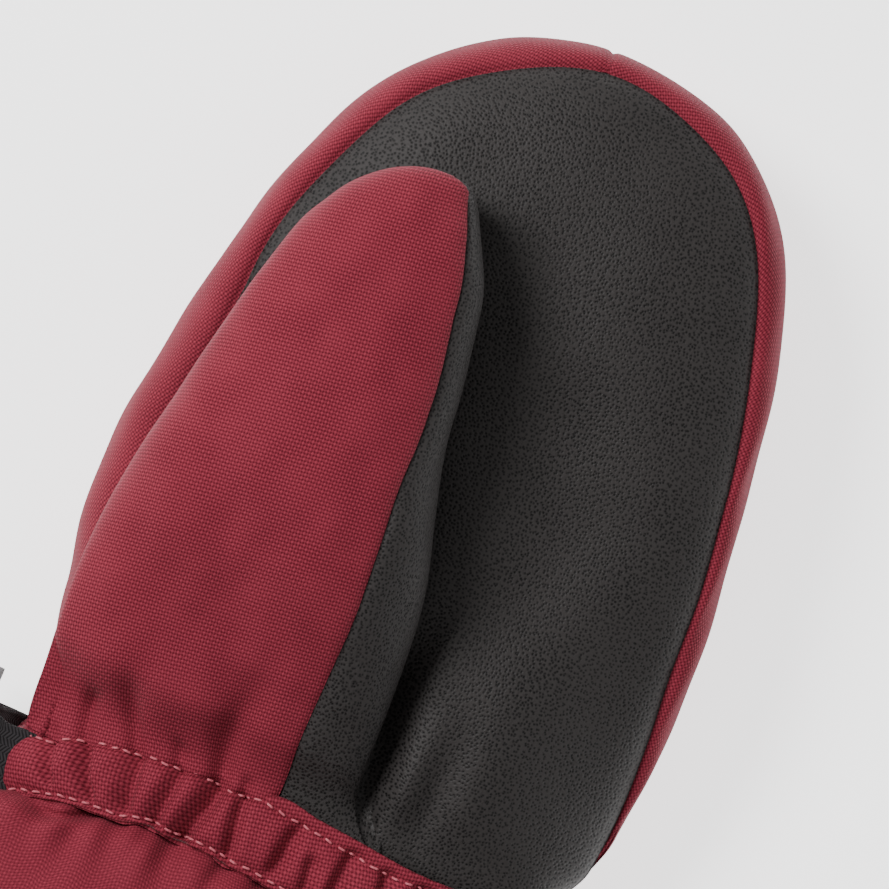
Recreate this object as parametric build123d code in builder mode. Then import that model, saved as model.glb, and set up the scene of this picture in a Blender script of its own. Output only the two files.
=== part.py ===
"""Left-hand ski mitten lying on its back, palm up, fingers along +Y, thumb on the -X side.

The mitten is a stack of sewn layers: an outer shell of fabric and leather panels, a waterproof insert,
padding and a lining. A gathered wrist, a gauntlet cuff and a webbing strap with a ladder-lock buckle
complete it. The origin is on the flat of the back, under the middle of the hand.
"""
from build123d import *

import os
from math import cos, radians, sin, sqrt, tan

# --- driving dimensions, millimetres -------------------------------------------------------------
HAND_THICK = 40.0  # back of the hand to the palm
SIDE_ROUND = 18.0  # rounding between the palm or back and the side
TIP_Y = 73.3  # fingertip end
TIP_START_Y, TIP_HALF = 16.0, 49.6  # where the rounded fingertip end begins, and half width there
FINGERS_Y, FINGERS_HALF = 6.0, 51.2  # across the fingers
MID_Y, MID_HALF = -28.0, 53.4  # the widest place
HEEL_Y, HEEL_HALF = -58.0, 51.0  # where the hand starts to narrow to the wrist
FINGERTIP_ANGLES = (0, 16, 32, 46, 58, 68, 77)  # degrees round the fingertip end where it has a section

WRIST_TOP_Y = -70.0  # upper row of the elastic channel
WRIST_LOW_Y = -81.0  # lower row of the elastic channel
NECK_Y = -88.0  # end of the hand's own shell, where the cuff begins
WRIST_LOW_Z, WRIST_HIGH_Z, WRIST_HALF, WRIST_ROUND = 7.0, 38.0, 48.0, 14.0
WRIST_SEAM_Z = (WRIST_LOW_Z + WRIST_HIGH_Z) / 2

CUFF_MID_Y, CUFF_MID_LOW_Z, CUFF_MID_HIGH_Z, CUFF_MID_HALF = -112.0, 0.6, 45.0, 56.0
CUFF_END_Y, CUFF_END_LOW_Z, CUFF_END_HIGH_Z, CUFF_END_HALF = -168.0, 0.0, 50.0, 61.0
CUFF_ROUND = 20.0
HEM_Y = -157.0  # where the hem band begins
HEM_THICK = 2.6
CUFF_SWING = 25.0  # degrees the cuff bends either way
LOOP_LENGTH, LOOP_WIDTH, LOOP_HALF = 20.0, 6.0, 5.0  # hanging loop
SIDE_SEAM_X = 46.2  # where the webbing is caught in the side seams
LOOP_LOW_Z = 9.0  # where the buckle's loop leaves the load run

SHELL = 1.0  # the layers, as depths below the outer surface
INSERT = 1.4
PADDING = 5.6
LINING = 7.0
THUMB_PADDING, THUMB_LINING = 4.0, 5.2
CUFF_LINING_OUT, CUFF_LINING_IN = 1.4, 2.4

BACK_SEAM_Z = 9.0  # seam between the back panel and the side gussets
PADDING_SEAM_Z = 17.5  # seam between the palm's padding and the back's
PALM_SEAM_Z = 24.0  # nothing of the palm reaches below this
PALM_INSET = 5.0  # palm edge inside the mitten's outline
TIP_SEAM_X = -4.4  # where the two side gussets meet at the fingertips

THUMB_X = -23.6  # middle of the thumb
THUMB_LOW_Z, THUMB_HIGH_Z, THUMB_ROUND = 40.6, 66.0, 11.5
THUMB_ROOT_Y = -10.0  # where the free thumb leaves the hand
THUMB_BASE_HALF, THUMB_TIP_HALF = 23.6, 16.8
THUMB_CENTRE_Y = 24.0  # centre of the round thumb tip
THUMB_UNDER_Z = 47.0  # seam along the outside of the thumb, leather below
THUMB_HINGE_Z = 58.0
THUMB_SWING = 35.0
RUNNING_GAP = 0.4  # between parts that move past each other

STRAP_WIDTH, STRAP_THICK, STRAP_Y = 15.0, 1.2, -79.0
STRAP_Z, TAIL_Z = 5.0, 2.6  # strap across the back of the wrist, and its free end below it
TAIL_START_X, TAIL_END_X, TAB_END_X = -50.0, -18.0, -11.0
TAB_THICK = 2.4
BUCKLE_X = -58.0
BUCKLE_WIDTH, BUCKLE_THICK, RAIL = 21.0, 4.6, 2.5
BAR_Z, BAR_R = 29.7, 1.6  # anchor bar, which is also the tilt axis
LADDER_Z, LADDER_R = 20.6, 1.5
LIP_Z, LIP_R = 12.2, 1.2
BUCKLE_TOP_Z, BUCKLE_LOW_Z = 32.0, 9.8
WEB_GAP = 0.15  # webbing to bar


# --- shared volumes ------------------------------------------------------------------------------
def side_section(y, low, high, half, rounding, centre_x=0.0):
    """Rounded rectangle across the mitten at y, from z low to high."""
    with BuildSketch(Plane.XZ.offset(-y)) as section:
        with Locations((centre_x, (low + high) / 2)):
            RectangleRounded(2 * half, high - low, min(rounding, (high - low) / 2 - 0.2))
    return section.sketch


def thumb_root_volume(inset):
    """Mound in which the thumb rises out of the palm, down to the thumb's own opening."""
    sections = [
        side_section(-66.0, 20.6, 38.0 - inset, 28.5 - inset, 7.8, -19.3),
        side_section(-40.0, 20.6, 53.0 - inset, 29.0 - inset, 12.0, -21.5),
        side_section(THUMB_ROOT_Y, 28.0, THUMB_HIGH_Z - inset, THUMB_BASE_HALF - inset, 12.0, THUMB_X),
    ]
    return loft(sections, ruled=True, mode=Mode.PRIVATE)


def fingertip_section(inset, angle):
    """Section of the rounded fingertip end, from 0 degrees where the rounding begins towards 90 at its end."""
    length = TIP_Y - TIP_START_Y - inset
    y = TIP_START_Y + length * sin(radians(angle))
    half = (TIP_HALF - inset) * cos(radians(angle))
    rounding = SIDE_ROUND - inset
    into_rim = max(0.0, rounding - length * (1 - sin(radians(angle))))
    rise = rounding - sqrt(rounding**2 - into_rim**2)
    return side_section(y, inset + rise, HAND_THICK - inset - rise, half, min(rounding, half - 0.2))


def hand_volume(inset):
    """Everything inside the hand's surface moved inwards by inset, with the thumb's root and the neck."""
    wrist_size = (WRIST_LOW_Z + inset, WRIST_HIGH_Z - inset, WRIST_HALF - inset, WRIST_ROUND - inset)
    flat = (inset, HAND_THICK - inset)
    sections = [
        side_section(NECK_Y, *wrist_size),
        side_section(WRIST_TOP_Y, *wrist_size),
        side_section(HEEL_Y, *flat, HEEL_HALF - inset, SIDE_ROUND - inset),
        side_section(MID_Y, *flat, MID_HALF - inset, SIDE_ROUND - inset),
        side_section(FINGERS_Y, *flat, FINGERS_HALF - inset, SIDE_ROUND - inset),
    ]
    sections += [fingertip_section(inset, angle) for angle in FINGERTIP_ANGLES]
    with BuildPart() as volume:
        add(loft(sections, ruled=True, mode=Mode.PRIVATE))
        add(thumb_root_volume(inset))
    return volume.part


def cuff_volume(inset):
    """Everything inside the cuff's surface moved inwards by inset."""
    sections = [
        side_section(NECK_Y, WRIST_LOW_Z + inset, WRIST_HIGH_Z - inset, WRIST_HALF - inset, WRIST_ROUND - inset),
        side_section(CUFF_MID_Y, CUFF_MID_LOW_Z + inset, CUFF_MID_HIGH_Z - inset, CUFF_MID_HALF - inset,
                     CUFF_ROUND - inset),
        side_section(CUFF_END_Y, CUFF_END_LOW_Z + inset, CUFF_END_HIGH_Z - inset, CUFF_END_HALF - inset,
                     CUFF_ROUND - inset),
    ]
    return loft(sections, ruled=True, mode=Mode.PRIVATE)


def cuff_relief():
    """Space above and below the wrist hinge that the cuff swings into, with a running gap."""
    reach = 40.0
    back = reach * tan(radians(CUFF_SWING + 1))
    with BuildPart() as relief:
        with BuildSketch(Plane.YZ):
            with BuildLine():
                Polyline(
                    (NECK_Y + 5, WRIST_SEAM_Z - reach),
                    (NECK_Y - RUNNING_GAP - back, WRIST_SEAM_Z - reach),
                    (NECK_Y - RUNNING_GAP, WRIST_SEAM_Z),
                    (NECK_Y - RUNNING_GAP - back, WRIST_SEAM_Z + reach),
                    (NECK_Y + 5, WRIST_SEAM_Z + reach),
                    close=True,
                )
            make_face()
        extrude(amount=90, both=True)
    return relief.part


def thumb_volume(inset):
    """Everything inside the free thumb's surface moved inwards by inset."""
    base_y = THUMB_ROOT_Y + RUNNING_GAP
    with BuildPart() as volume:
        with BuildSketch(Plane.XY.offset(THUMB_LOW_Z + inset)):
            with BuildLine():
                left_base = (THUMB_X - THUMB_BASE_HALF + inset, base_y)
                left_tip = (THUMB_X - THUMB_TIP_HALF + inset, THUMB_CENTRE_Y)
                right_tip = (THUMB_X + THUMB_TIP_HALF - inset, THUMB_CENTRE_Y)
                right_base = (THUMB_X + THUMB_BASE_HALF - inset, base_y)
                Line(left_base, left_tip)
                ThreePointArc(left_tip, (THUMB_X, THUMB_CENTRE_Y + THUMB_TIP_HALF - inset), right_tip)
                Line(right_tip, right_base)
                Line(right_base, left_base)
            make_face()
        extrude(amount=THUMB_HIGH_Z - THUMB_LOW_Z - 2 * inset)
        rims = volume.faces().filter_by(Axis.Z).edges().filter_by(lambda e: e.center().Y > base_y + 1)
        fillet(rims, radius=THUMB_ROUND - inset)
    return volume.part


def thumb_relief():
    """Wedge above the thumb's hinge that the thumb leans back into."""
    upper = THUMB_HIGH_Z - THUMB_HINGE_Z + 5
    base_y = THUMB_ROOT_Y + RUNNING_GAP
    with BuildPart() as relief:
        with BuildSketch(Plane.YZ):
            with BuildLine():
                Polyline(
                    (base_y, THUMB_HINGE_Z),
                    (base_y + upper * tan(radians(THUMB_SWING + 1)), THUMB_HINGE_Z + upper),
                    (base_y, THUMB_HINGE_Z + upper),
                    close=True,
                )
            make_face()
        extrude(amount=90, both=True)
    return relief.part


def palm_area():
    """Upright prism over the palm panel. On the little finger's side the panel runs out over the edge."""
    tip_half = TIP_HALF - PALM_INSET
    tip_length = TIP_Y - TIP_START_Y - PALM_INSET
    shoulder = (tip_half * cos(radians(45)), TIP_START_Y + tip_length * sin(radians(45)))
    heel_half = HEEL_HALF - PALM_INSET
    outside = MID_HALF + 6.0
    with BuildPart() as prism:
        with BuildSketch(Plane.XY.offset(PALM_SEAM_Z)):
            with BuildLine():
                Spline((-tip_half, TIP_START_Y), (-shoulder[0], shoulder[1]), (0, TIP_Y - PALM_INSET), shoulder,
                       (tip_half, TIP_START_Y), tangents=[(0, 1), (0, -1)])
                Spline((-tip_half, TIP_START_Y), (PALM_INSET - MID_HALF, MID_Y), (-heel_half, HEEL_Y),
                       tangents=[(0, -1), (0.06, -1)])
                Polyline((-heel_half, HEEL_Y), (-heel_half, WRIST_TOP_Y), (outside, WRIST_TOP_Y), (outside, -44))
                Spline((outside, -44), (MID_HALF - 2.6, -20), (tip_half, TIP_START_Y),
                       tangents=[(-0.5, 1), (0, 1)])
            make_face()
        extrude(amount=60)
    return prism.part


def thumb_area():
    """Upright prism over the thumb's root, from the mitten's edge to the seam that joins it to the palm."""
    with BuildPart() as prism:
        with BuildSketch(Plane.XY.offset(PALM_SEAM_Z)):
            with BuildLine():
                Polyline((-70, WRIST_TOP_Y), (10.4, WRIST_TOP_Y), (8.2, -40), (0.8, THUMB_ROOT_Y),
                         (-70, THUMB_ROOT_Y), close=True)
            make_face()
        extrude(amount=60)
    return prism.part


def thumb_leather_area():
    """Upright prism on the palm's side of the seam that runs along the top of the thumb."""
    with BuildPart() as prism:
        with BuildSketch(Plane.XY):
            with BuildLine():
                Spline((-2.8, WRIST_TOP_Y), (-5.2, -12), (-7.4, 8), (-16.5, 44), tangents=[(-0.02, 1), (-0.4, 1)])
                Polyline((-16.5, 44), (-16.5, 60), (40, 60), (40, WRIST_TOP_Y), (-2.8, WRIST_TOP_Y))
            make_face()
        extrude(amount=90)
    return prism.part


def slab(low, high):
    """Block that spans the mitten between two corners given as (y, z)."""
    with BuildPart() as block:
        with Locations((0, (low[0] + high[0]) / 2, (low[1] + high[1]) / 2)):
            Box(200, high[0] - low[0], high[1] - low[1])
    return block.part


def webbing(path_points, radii):
    """Strap: a rounded path across the wrist given the webbing's thickness and width."""
    with BuildPart() as band:
        with BuildSketch(Plane.XZ.offset(-STRAP_Y)):
            with BuildLine() as path:
                FilletPolyline(*path_points, radius=radii)
            trace(path.line, STRAP_THICK)
        extrude(amount=STRAP_WIDTH / 2, both=True)
        add(hand_outer, mode=Mode.SUBTRACT)
    return band.part


def finish(part, label):
    """Label a finished piece and write it out."""
    part.label = label
    export_step(part, f"parts/{label}.step")


os.makedirs("parts", exist_ok=True)
hand_outer = hand_volume(0)
hand_in_shell = hand_volume(SHELL)
hand_in_insert = hand_volume(INSERT)
hand_in_padding = hand_volume(PADDING)
hand_in_lining = hand_volume(LINING)
palm_trim = palm_area()
thumb_trim = thumb_area()
leather_trim = thumb_leather_area()
above_wrist = slab((WRIST_TOP_Y, -10), (TIP_Y + 10, 90))

# --- outer shell of the hand ---------------------------------------------------------------------
with BuildPart() as shell:
    add(hand_outer)
    add(hand_in_shell, mode=Mode.SUBTRACT)

with BuildPart() as hand_shell:
    add(shell.part)
    add(above_wrist, mode=Mode.INTERSECT)

with BuildPart() as palm_panel:
    add(hand_shell.part)
    add(palm_trim, mode=Mode.INTERSECT)
    add(thumb_trim, mode=Mode.SUBTRACT)
finish(palm_panel.part, "palm_panel")

with BuildPart() as thumb_root_fabric:
    add(hand_shell.part)
    add(thumb_trim, mode=Mode.INTERSECT)
    add(leather_trim, mode=Mode.SUBTRACT)
finish(thumb_root_fabric.part, "thumb_root_fabric")

with BuildPart() as thumb_root_leather:
    add(hand_shell.part)
    add(thumb_trim, mode=Mode.INTERSECT)
    add(leather_trim, mode=Mode.INTERSECT)
finish(thumb_root_leather.part, "thumb_root_leather")

with BuildPart() as back_panel:
    add(hand_shell.part)
    add(slab((-200, -10), (200, BACK_SEAM_Z)), mode=Mode.INTERSECT)
finish(back_panel.part, "back_panel")

with BuildPart() as gussets:
    add(hand_shell.part)
    add(slab((-200, BACK_SEAM_Z), (200, 90)), mode=Mode.INTERSECT)
    add(palm_trim, mode=Mode.SUBTRACT)
    add(thumb_trim, mode=Mode.SUBTRACT)

with BuildPart() as gusset_thumb_side:
    add(gussets.part)
    split(bisect_by=Plane.YZ.offset(TIP_SEAM_X), keep=Keep.BOTTOM)
finish(gusset_thumb_side.part, "gusset_thumb_side")

with BuildPart() as gusset_little_finger_side:
    add(gussets.part)
    split(bisect_by=Plane.YZ.offset(TIP_SEAM_X), keep=Keep.TOP)
finish(gusset_little_finger_side.part, "gusset_little_finger_side")

# --- gathered wrist ------------------------------------------------------------------------------
for label, low_z, high_z in [("wrist_casing_back", -10, WRIST_SEAM_Z), ("wrist_casing_palm", WRIST_SEAM_Z, 90)]:
    with BuildPart() as wrist_casing:
        add(shell.part)
        add(slab((NECK_Y, low_z), (WRIST_TOP_Y, high_z)), mode=Mode.INTERSECT)
    finish(wrist_casing.part, label)

with BuildPart() as wrist_elastic:
    add(hand_in_insert)
    add(hand_volume(INSERT + 0.9), mode=Mode.SUBTRACT)
    add(slab((WRIST_LOW_Y + 1, -10), (WRIST_TOP_Y - 1, 90)), mode=Mode.INTERSECT)
finish(wrist_elastic.part, "wrist_elastic")

# --- layers inside the hand ----------------------------------------------------------------------
with BuildPart() as membrane_insert:
    add(hand_in_shell)
    add(hand_in_insert, mode=Mode.SUBTRACT)
    add(above_wrist, mode=Mode.INTERSECT)
finish(membrane_insert.part, "membrane_insert")

with BuildPart() as hand_padding:
    add(hand_in_insert)
    add(hand_in_padding, mode=Mode.SUBTRACT)
    add(above_wrist, mode=Mode.INTERSECT)

for label, kept_half in [("back_padding", Keep.BOTTOM), ("palm_padding", Keep.TOP)]:
    with BuildPart() as padding:
        add(hand_padding.part)
        split(bisect_by=Plane.XY.offset(PADDING_SEAM_Z), keep=kept_half)
    finish(padding.part, label)

with BuildPart() as hand_lining:
    add(hand_in_padding)
    add(hand_in_lining, mode=Mode.SUBTRACT)
finish(hand_lining.part, "hand_lining")

# --- free thumb ----------------------------------------------------------------------------------
relief_over_thumb = thumb_relief()
thumb_outer = thumb_volume(0)
thumb_in_shell = thumb_volume(SHELL)
thumb_in_insert = thumb_volume(INSERT)
thumb_in_padding = thumb_volume(THUMB_PADDING)
thumb_in_lining = thumb_volume(THUMB_LINING)

with BuildPart() as thumb_leather_side:
    add(leather_trim)
    add(slab((-50, -10), (100, THUMB_UNDER_Z)))

with BuildPart() as thumb_shell:
    add(thumb_outer)
    add(thumb_in_shell, mode=Mode.SUBTRACT)
    add(relief_over_thumb, mode=Mode.SUBTRACT)

with BuildPart() as thumb_fabric:
    add(thumb_shell.part)
    add(thumb_leather_side.part, mode=Mode.SUBTRACT)
finish(thumb_fabric.part, "thumb_fabric")

with BuildPart() as thumb_leather:
    add(thumb_shell.part)
    add(thumb_leather_side.part, mode=Mode.INTERSECT)
finish(thumb_leather.part, "thumb_leather")

with BuildPart() as thumb_fold:
    add(thumb_outer)
    add(thumb_in_shell, mode=Mode.SUBTRACT)
    add(relief_over_thumb, mode=Mode.INTERSECT)
finish(thumb_fold.part, "thumb_fold")

thumb_layers = [
    ("thumb_insert", thumb_in_shell, thumb_in_insert),
    ("thumb_padding", thumb_in_insert, thumb_in_padding),
    ("thumb_lining", thumb_in_padding, thumb_in_lining),
]
for label, outside, inside in thumb_layers:
    with BuildPart() as thumb_layer:
        add(outside)
        add(inside, mode=Mode.SUBTRACT)
        add(relief_over_thumb, mode=Mode.SUBTRACT)
    finish(thumb_layer.part, label)

# --- gauntlet cuff -------------------------------------------------------------------------------
relief_at_wrist = cuff_relief()
cuff_outer = cuff_volume(0)
cuff_in_shell = cuff_volume(SHELL)

with BuildPart() as cuff_shell:
    add(cuff_outer)
    add(cuff_in_shell, mode=Mode.SUBTRACT)
    add(slab((HEM_Y, -10), (NECK_Y, 90)), mode=Mode.INTERSECT)

for side, low_z, high_z in [("back", -10, WRIST_SEAM_Z), ("palm", WRIST_SEAM_Z, 90)]:
    half = slab((CUFF_END_Y, low_z), (NECK_Y, high_z))
    with BuildPart() as cuff_panel:
        add(cuff_shell.part)
        add(half, mode=Mode.INTERSECT)
        add(relief_at_wrist, mode=Mode.SUBTRACT)
    finish(cuff_panel.part, f"cuff_{side}_panel")
    with BuildPart() as wrist_fold:
        add(cuff_shell.part)
        add(half, mode=Mode.INTERSECT)
        add(relief_at_wrist, mode=Mode.INTERSECT)
    finish(wrist_fold.part, f"wrist_fold_{side}")

with BuildPart() as cuff_lining:
    add(cuff_volume(CUFF_LINING_OUT))
    add(cuff_volume(CUFF_LINING_IN), mode=Mode.SUBTRACT)
    add(slab((HEM_Y, -10), (NECK_Y, 90)), mode=Mode.INTERSECT)
    add(relief_at_wrist, mode=Mode.SUBTRACT)
finish(cuff_lining.part, "cuff_lining")

with BuildPart() as hem_elastic:
    add(cuff_volume(0.9))
    add(cuff_volume(1.7), mode=Mode.SUBTRACT)
    add(slab((CUFF_END_Y + 3, -10), (HEM_Y - 3, 90)), mode=Mode.INTERSECT)
finish(hem_elastic.part, "hem_elastic")

with BuildPart() as hem_band:
    add(cuff_outer)
    add(cuff_volume(HEM_THICK), mode=Mode.SUBTRACT)
    add(slab((CUFF_END_Y, -10), (HEM_Y, 90)), mode=Mode.INTERSECT)
    add(hem_elastic.part, mode=Mode.SUBTRACT)
finish(hem_band.part, "hem_band")

with BuildPart() as hang_loop:
    with BuildSketch(Plane.XY.offset(CUFF_END_HIGH_Z / 2 - LOOP_WIDTH / 2)):
        with BuildLine() as loop_path:
            FilletPolyline(
                (HEM_THICK - CUFF_END_HALF, CUFF_END_Y + 8),
                (HEM_THICK - CUFF_END_HALF + 0.9, CUFF_END_Y - LOOP_LENGTH),
                (HEM_THICK - CUFF_END_HALF + 2 * LOOP_HALF, CUFF_END_Y - LOOP_LENGTH),
                (HEM_THICK - CUFF_END_HALF + 3.0, CUFF_END_Y + 8),
                radius=3.5,
            )
        trace(loop_path.line, 1.0)
    extrude(amount=LOOP_WIDTH)
    add(hem_band.part, mode=Mode.SUBTRACT)
    add(hem_elastic.part, mode=Mode.SUBTRACT)
finish(hang_loop.part, "hang_loop")

with BuildPart() as care_label:
    with Locations((0, HEM_Y + 20, CUFF_LINING_IN + 1.2)):
        Box(24, 34, 0.4)
finish(care_label.part, "care_label")

# --- wrist strap and buckle ----------------------------------------------------------------------
around_bar = BAR_R + WEB_GAP + STRAP_THICK / 2
around_ladder = LADDER_R + WEB_GAP + STRAP_THICK / 2
load_x, free_x = BUCKLE_X + around_ladder, BUCKLE_X - around_ladder

anchor_points = [
    (-SIDE_SEAM_X, BAR_Z + 1.0),
    (BUCKLE_X + 3.5, BAR_Z + around_bar),
    (BUCKLE_X - around_bar, BAR_Z + around_bar),
    (BUCKLE_X - around_bar, BAR_Z - around_bar),
    (BUCKLE_X + 3.5, BAR_Z - around_bar),
    (-SIDE_SEAM_X, BAR_Z - 1.0),
]
finish(webbing(anchor_points, [4.0, around_bar - 0.02, around_bar - 0.02, 4.0]), "buckle_anchor")

strap_points = [(SIDE_SEAM_X, 30), (49.6, 26), (49.6, STRAP_Z), (load_x, STRAP_Z), (load_x, LOOP_LOW_Z)]
finish(webbing(strap_points, [2.0, 13.0, 2.75]), "wrist_strap")

loop_points = [
    (load_x, LOOP_LOW_Z),
    (load_x, LADDER_Z + around_ladder),
    (free_x, LADDER_Z + around_ladder),
    (free_x, TAIL_Z),
    (TAIL_START_X, TAIL_Z),
]
finish(webbing(loop_points, [around_ladder - 0.02, around_ladder - 0.02, 4.5]), "strap_loop")

with BuildPart() as strap_tail:
    with Locations(((TAIL_START_X + TAIL_END_X) / 2, STRAP_Y, TAIL_Z)):
        Box(TAIL_END_X - TAIL_START_X, STRAP_WIDTH, STRAP_THICK)
finish(strap_tail.part, "strap_tail")

with BuildPart() as strap_pull_tab:
    with Locations(((TAIL_END_X + TAB_END_X) / 2, STRAP_Y, TAIL_Z)):
        Box(TAB_END_X - TAIL_END_X, STRAP_WIDTH, TAB_THICK)
    fillet(strap_pull_tab.edges().filter_by(Axis.Y).group_by(Axis.X)[-1], radius=0.9)
finish(strap_pull_tab.part, "strap_pull_tab")

with BuildPart() as ladder_buckle:
    with BuildSketch(Plane.YZ.offset(BUCKLE_X - BUCKLE_THICK / 2)):
        with Locations((STRAP_Y, (BUCKLE_TOP_Z + BUCKLE_LOW_Z) / 2)):
            RectangleRounded(BUCKLE_WIDTH, BUCKLE_TOP_Z - BUCKLE_LOW_Z, 3.0)
            Rectangle(BUCKLE_WIDTH - 2 * RAIL, BUCKLE_TOP_Z - BUCKLE_LOW_Z + 2, mode=Mode.SUBTRACT)
    extrude(amount=BUCKLE_THICK)
    for bar_z, bar_r in [(BAR_Z, BAR_R), (LADDER_Z, LADDER_R), (LIP_Z, LIP_R)]:
        with BuildSketch(Plane.XZ.offset(-STRAP_Y)):
            with Locations((BUCKLE_X, bar_z)):
                Circle(bar_r)
        extrude(amount=BUCKLE_WIDTH / 2 - RAIL / 2, both=True)
finish(ladder_buckle.part, "ladder_buckle")
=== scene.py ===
"""Looks of the ski mitten: padded shell panels, leather palm, thumb, gathered wrist, cuff and webbing strap.

Shapes are worked out in millimetres as (x, h, z), where h is the distance above the upper stitch row of the
wrist towards the fingertips, and put into the frame when each mesh is made.
"""
import math

import bmesh
import bpy
import numpy as np
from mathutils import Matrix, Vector


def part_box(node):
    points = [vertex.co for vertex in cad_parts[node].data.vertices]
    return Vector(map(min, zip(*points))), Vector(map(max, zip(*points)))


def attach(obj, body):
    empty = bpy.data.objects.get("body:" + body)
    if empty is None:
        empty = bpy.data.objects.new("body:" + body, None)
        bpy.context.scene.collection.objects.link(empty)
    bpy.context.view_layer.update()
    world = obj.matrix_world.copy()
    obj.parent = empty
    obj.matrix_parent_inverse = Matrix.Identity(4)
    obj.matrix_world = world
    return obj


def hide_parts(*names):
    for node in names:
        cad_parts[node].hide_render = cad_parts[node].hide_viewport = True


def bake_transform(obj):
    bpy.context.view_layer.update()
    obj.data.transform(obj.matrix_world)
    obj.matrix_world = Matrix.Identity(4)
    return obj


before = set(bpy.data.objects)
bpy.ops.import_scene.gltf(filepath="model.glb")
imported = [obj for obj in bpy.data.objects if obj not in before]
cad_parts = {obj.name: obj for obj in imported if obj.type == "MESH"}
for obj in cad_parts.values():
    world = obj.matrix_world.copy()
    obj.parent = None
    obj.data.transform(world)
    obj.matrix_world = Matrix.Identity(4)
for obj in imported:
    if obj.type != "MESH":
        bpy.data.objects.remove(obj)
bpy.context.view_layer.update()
MM = 0.001


# --- places from the frame, millimetres ---
def node_box(name):
    """A CAD node's lowest and highest corners in millimetres."""
    low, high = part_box(name)
    return np.array(low) / MM, np.array(high) / MM


casing_high = node_box("wrist_casing_palm")[1]
hem_low, hem_high = node_box("hem_band")

ROW_Y = casing_high[1]  # upper stitch row of the wrist
PALM_Z = node_box("palm_panel")[1][2]
WRIST_LOW_Z, WRIST_HIGH_Z = node_box("wrist_casing_back")[0][2], casing_high[2]
WRIST_MID_Z = (WRIST_LOW_Z + WRIST_HIGH_Z) / 2
HEM_H, HEM_TOP_H = hem_low[1] - ROW_Y, hem_high[1] - ROW_Y
HEM_MID_Z = (hem_low[2] + hem_high[2]) / 2
SIDE_Z = 19.0  # height of the widest part of the hand
SEEN_SCALE = 1.019  # the widest part lies lower than the palm, so from above it looks this much smaller
FAN_H = 80.0  # centre of the rounded fingertip end
YARN = 0.64  # weave pitch
RNG = np.random.default_rng(7)


# --- small maths ---
def running(line):
    """Running length along a line of points."""
    return np.concatenate([[0], np.cumsum(np.linalg.norm(np.diff(line, axis=0), axis=1))])


def smooth_curve(points, count):
    """Smooth curve through points, count samples evenly spread along its length."""
    p = np.array(points, float)
    ends = [2 * p[0] - p[1], *p, 2 * p[-1] - p[-2]]
    t = np.linspace(0, 1, 40, endpoint=False)[:, None]
    out = []
    for a, b, c, d in zip(ends[:-3], ends[1:-2], ends[2:-1], ends[3:]):
        bend, twist = 2 * a - 5 * b + 4 * c - d, 3 * b - a - 3 * c + d
        out.append(0.5 * (2 * b + (c - a) * t + bend * t**2 + twist * t**3))
    dense = np.vstack([*out, p[-1:]])
    run = running(dense)
    at = np.linspace(0, run[-1], count)
    return np.stack([np.interp(at, run, column) for column in dense.T], 1)


def table(x, points):
    """Smooth interpolation of (position, value) points, flat beyond the ends."""
    at, value = np.array(sorted(points), float).T
    slope = np.gradient(value, at)
    x = np.clip(x, at[0], at[-1])
    k = np.clip(np.searchsorted(at, x, side="right") - 1, 0, len(at) - 2)
    gap = at[k + 1] - at[k]
    t = (x - at[k]) / gap
    rise = value[k] * (1 + 2 * t) * (1 - t) ** 2 + value[k + 1] * t**2 * (3 - 2 * t)
    return rise + gap * (slope[k] * t * (1 - t) ** 2 + slope[k + 1] * t**2 * (t - 1))


def step(a, b, x):
    """Smooth 0 to 1 as x goes from a to b."""
    t = np.clip((x - a) / (b - a), 0, 1)
    return t * t * (3 - 2 * t)


def bell(x, width):
    """1 at 0, falling away over width."""
    return np.exp(-((x / width) ** 2))


def wobble(a, b, scale, seed):
    """Smooth seeded noise of two coordinates, about -1 to 1."""
    rng = np.random.default_rng(seed)
    total = np.zeros(np.broadcast(a, b).shape)
    for octave in range(2):
        for _ in range(5):
            angle, phase = rng.uniform(0, 2 * math.pi, 2)
            k = 2 * math.pi / scale * rng.uniform(0.7, 1.3) * 2**octave
            total = total + np.sin(k * (a * math.cos(angle) + b * math.sin(angle)) + phase) / 2**octave
    return total / 4.5


def curved(value, power):
    """A cosine or sine bent by a power, which makes a round section squarer."""
    return np.sign(value) * np.abs(value) ** power


def unit(vectors):
    """The same directions with length 1."""
    return vectors / np.maximum(np.linalg.norm(vectors, axis=-1, keepdims=True), 1e-9)


# --- meshes ---
def normals_of(grid):
    """Unit normals of a grid of points."""
    return unit(np.cross(np.gradient(grid, axis=0), np.gradient(grid, axis=1)))


def lengths_of(grid, axis):
    """Running length along one axis of a grid of points."""
    d = np.linalg.norm(np.diff(grid, axis=axis), axis=2)
    pad = [(1, 0), (0, 0)] if axis == 0 else [(0, 0), (1, 0)]
    return np.pad(np.cumsum(d, axis=axis), pad)


def turned(u, v, degrees):
    """Texture coordinates along the cloth, turned by some degrees."""
    c, s = math.cos(math.radians(degrees)), math.sin(math.radians(degrees))
    return np.stack([u * c - v * s, u * s + v * c], 2)


def grid_uv(grid, turn=0.0):
    """Texture coordinates in millimetres along a grid, turned by some degrees."""
    u, v = lengths_of(grid, 0), lengths_of(grid, 1)
    return turned(np.broadcast_to(u.mean(1, keepdims=True), u.shape), v, turn)


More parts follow.
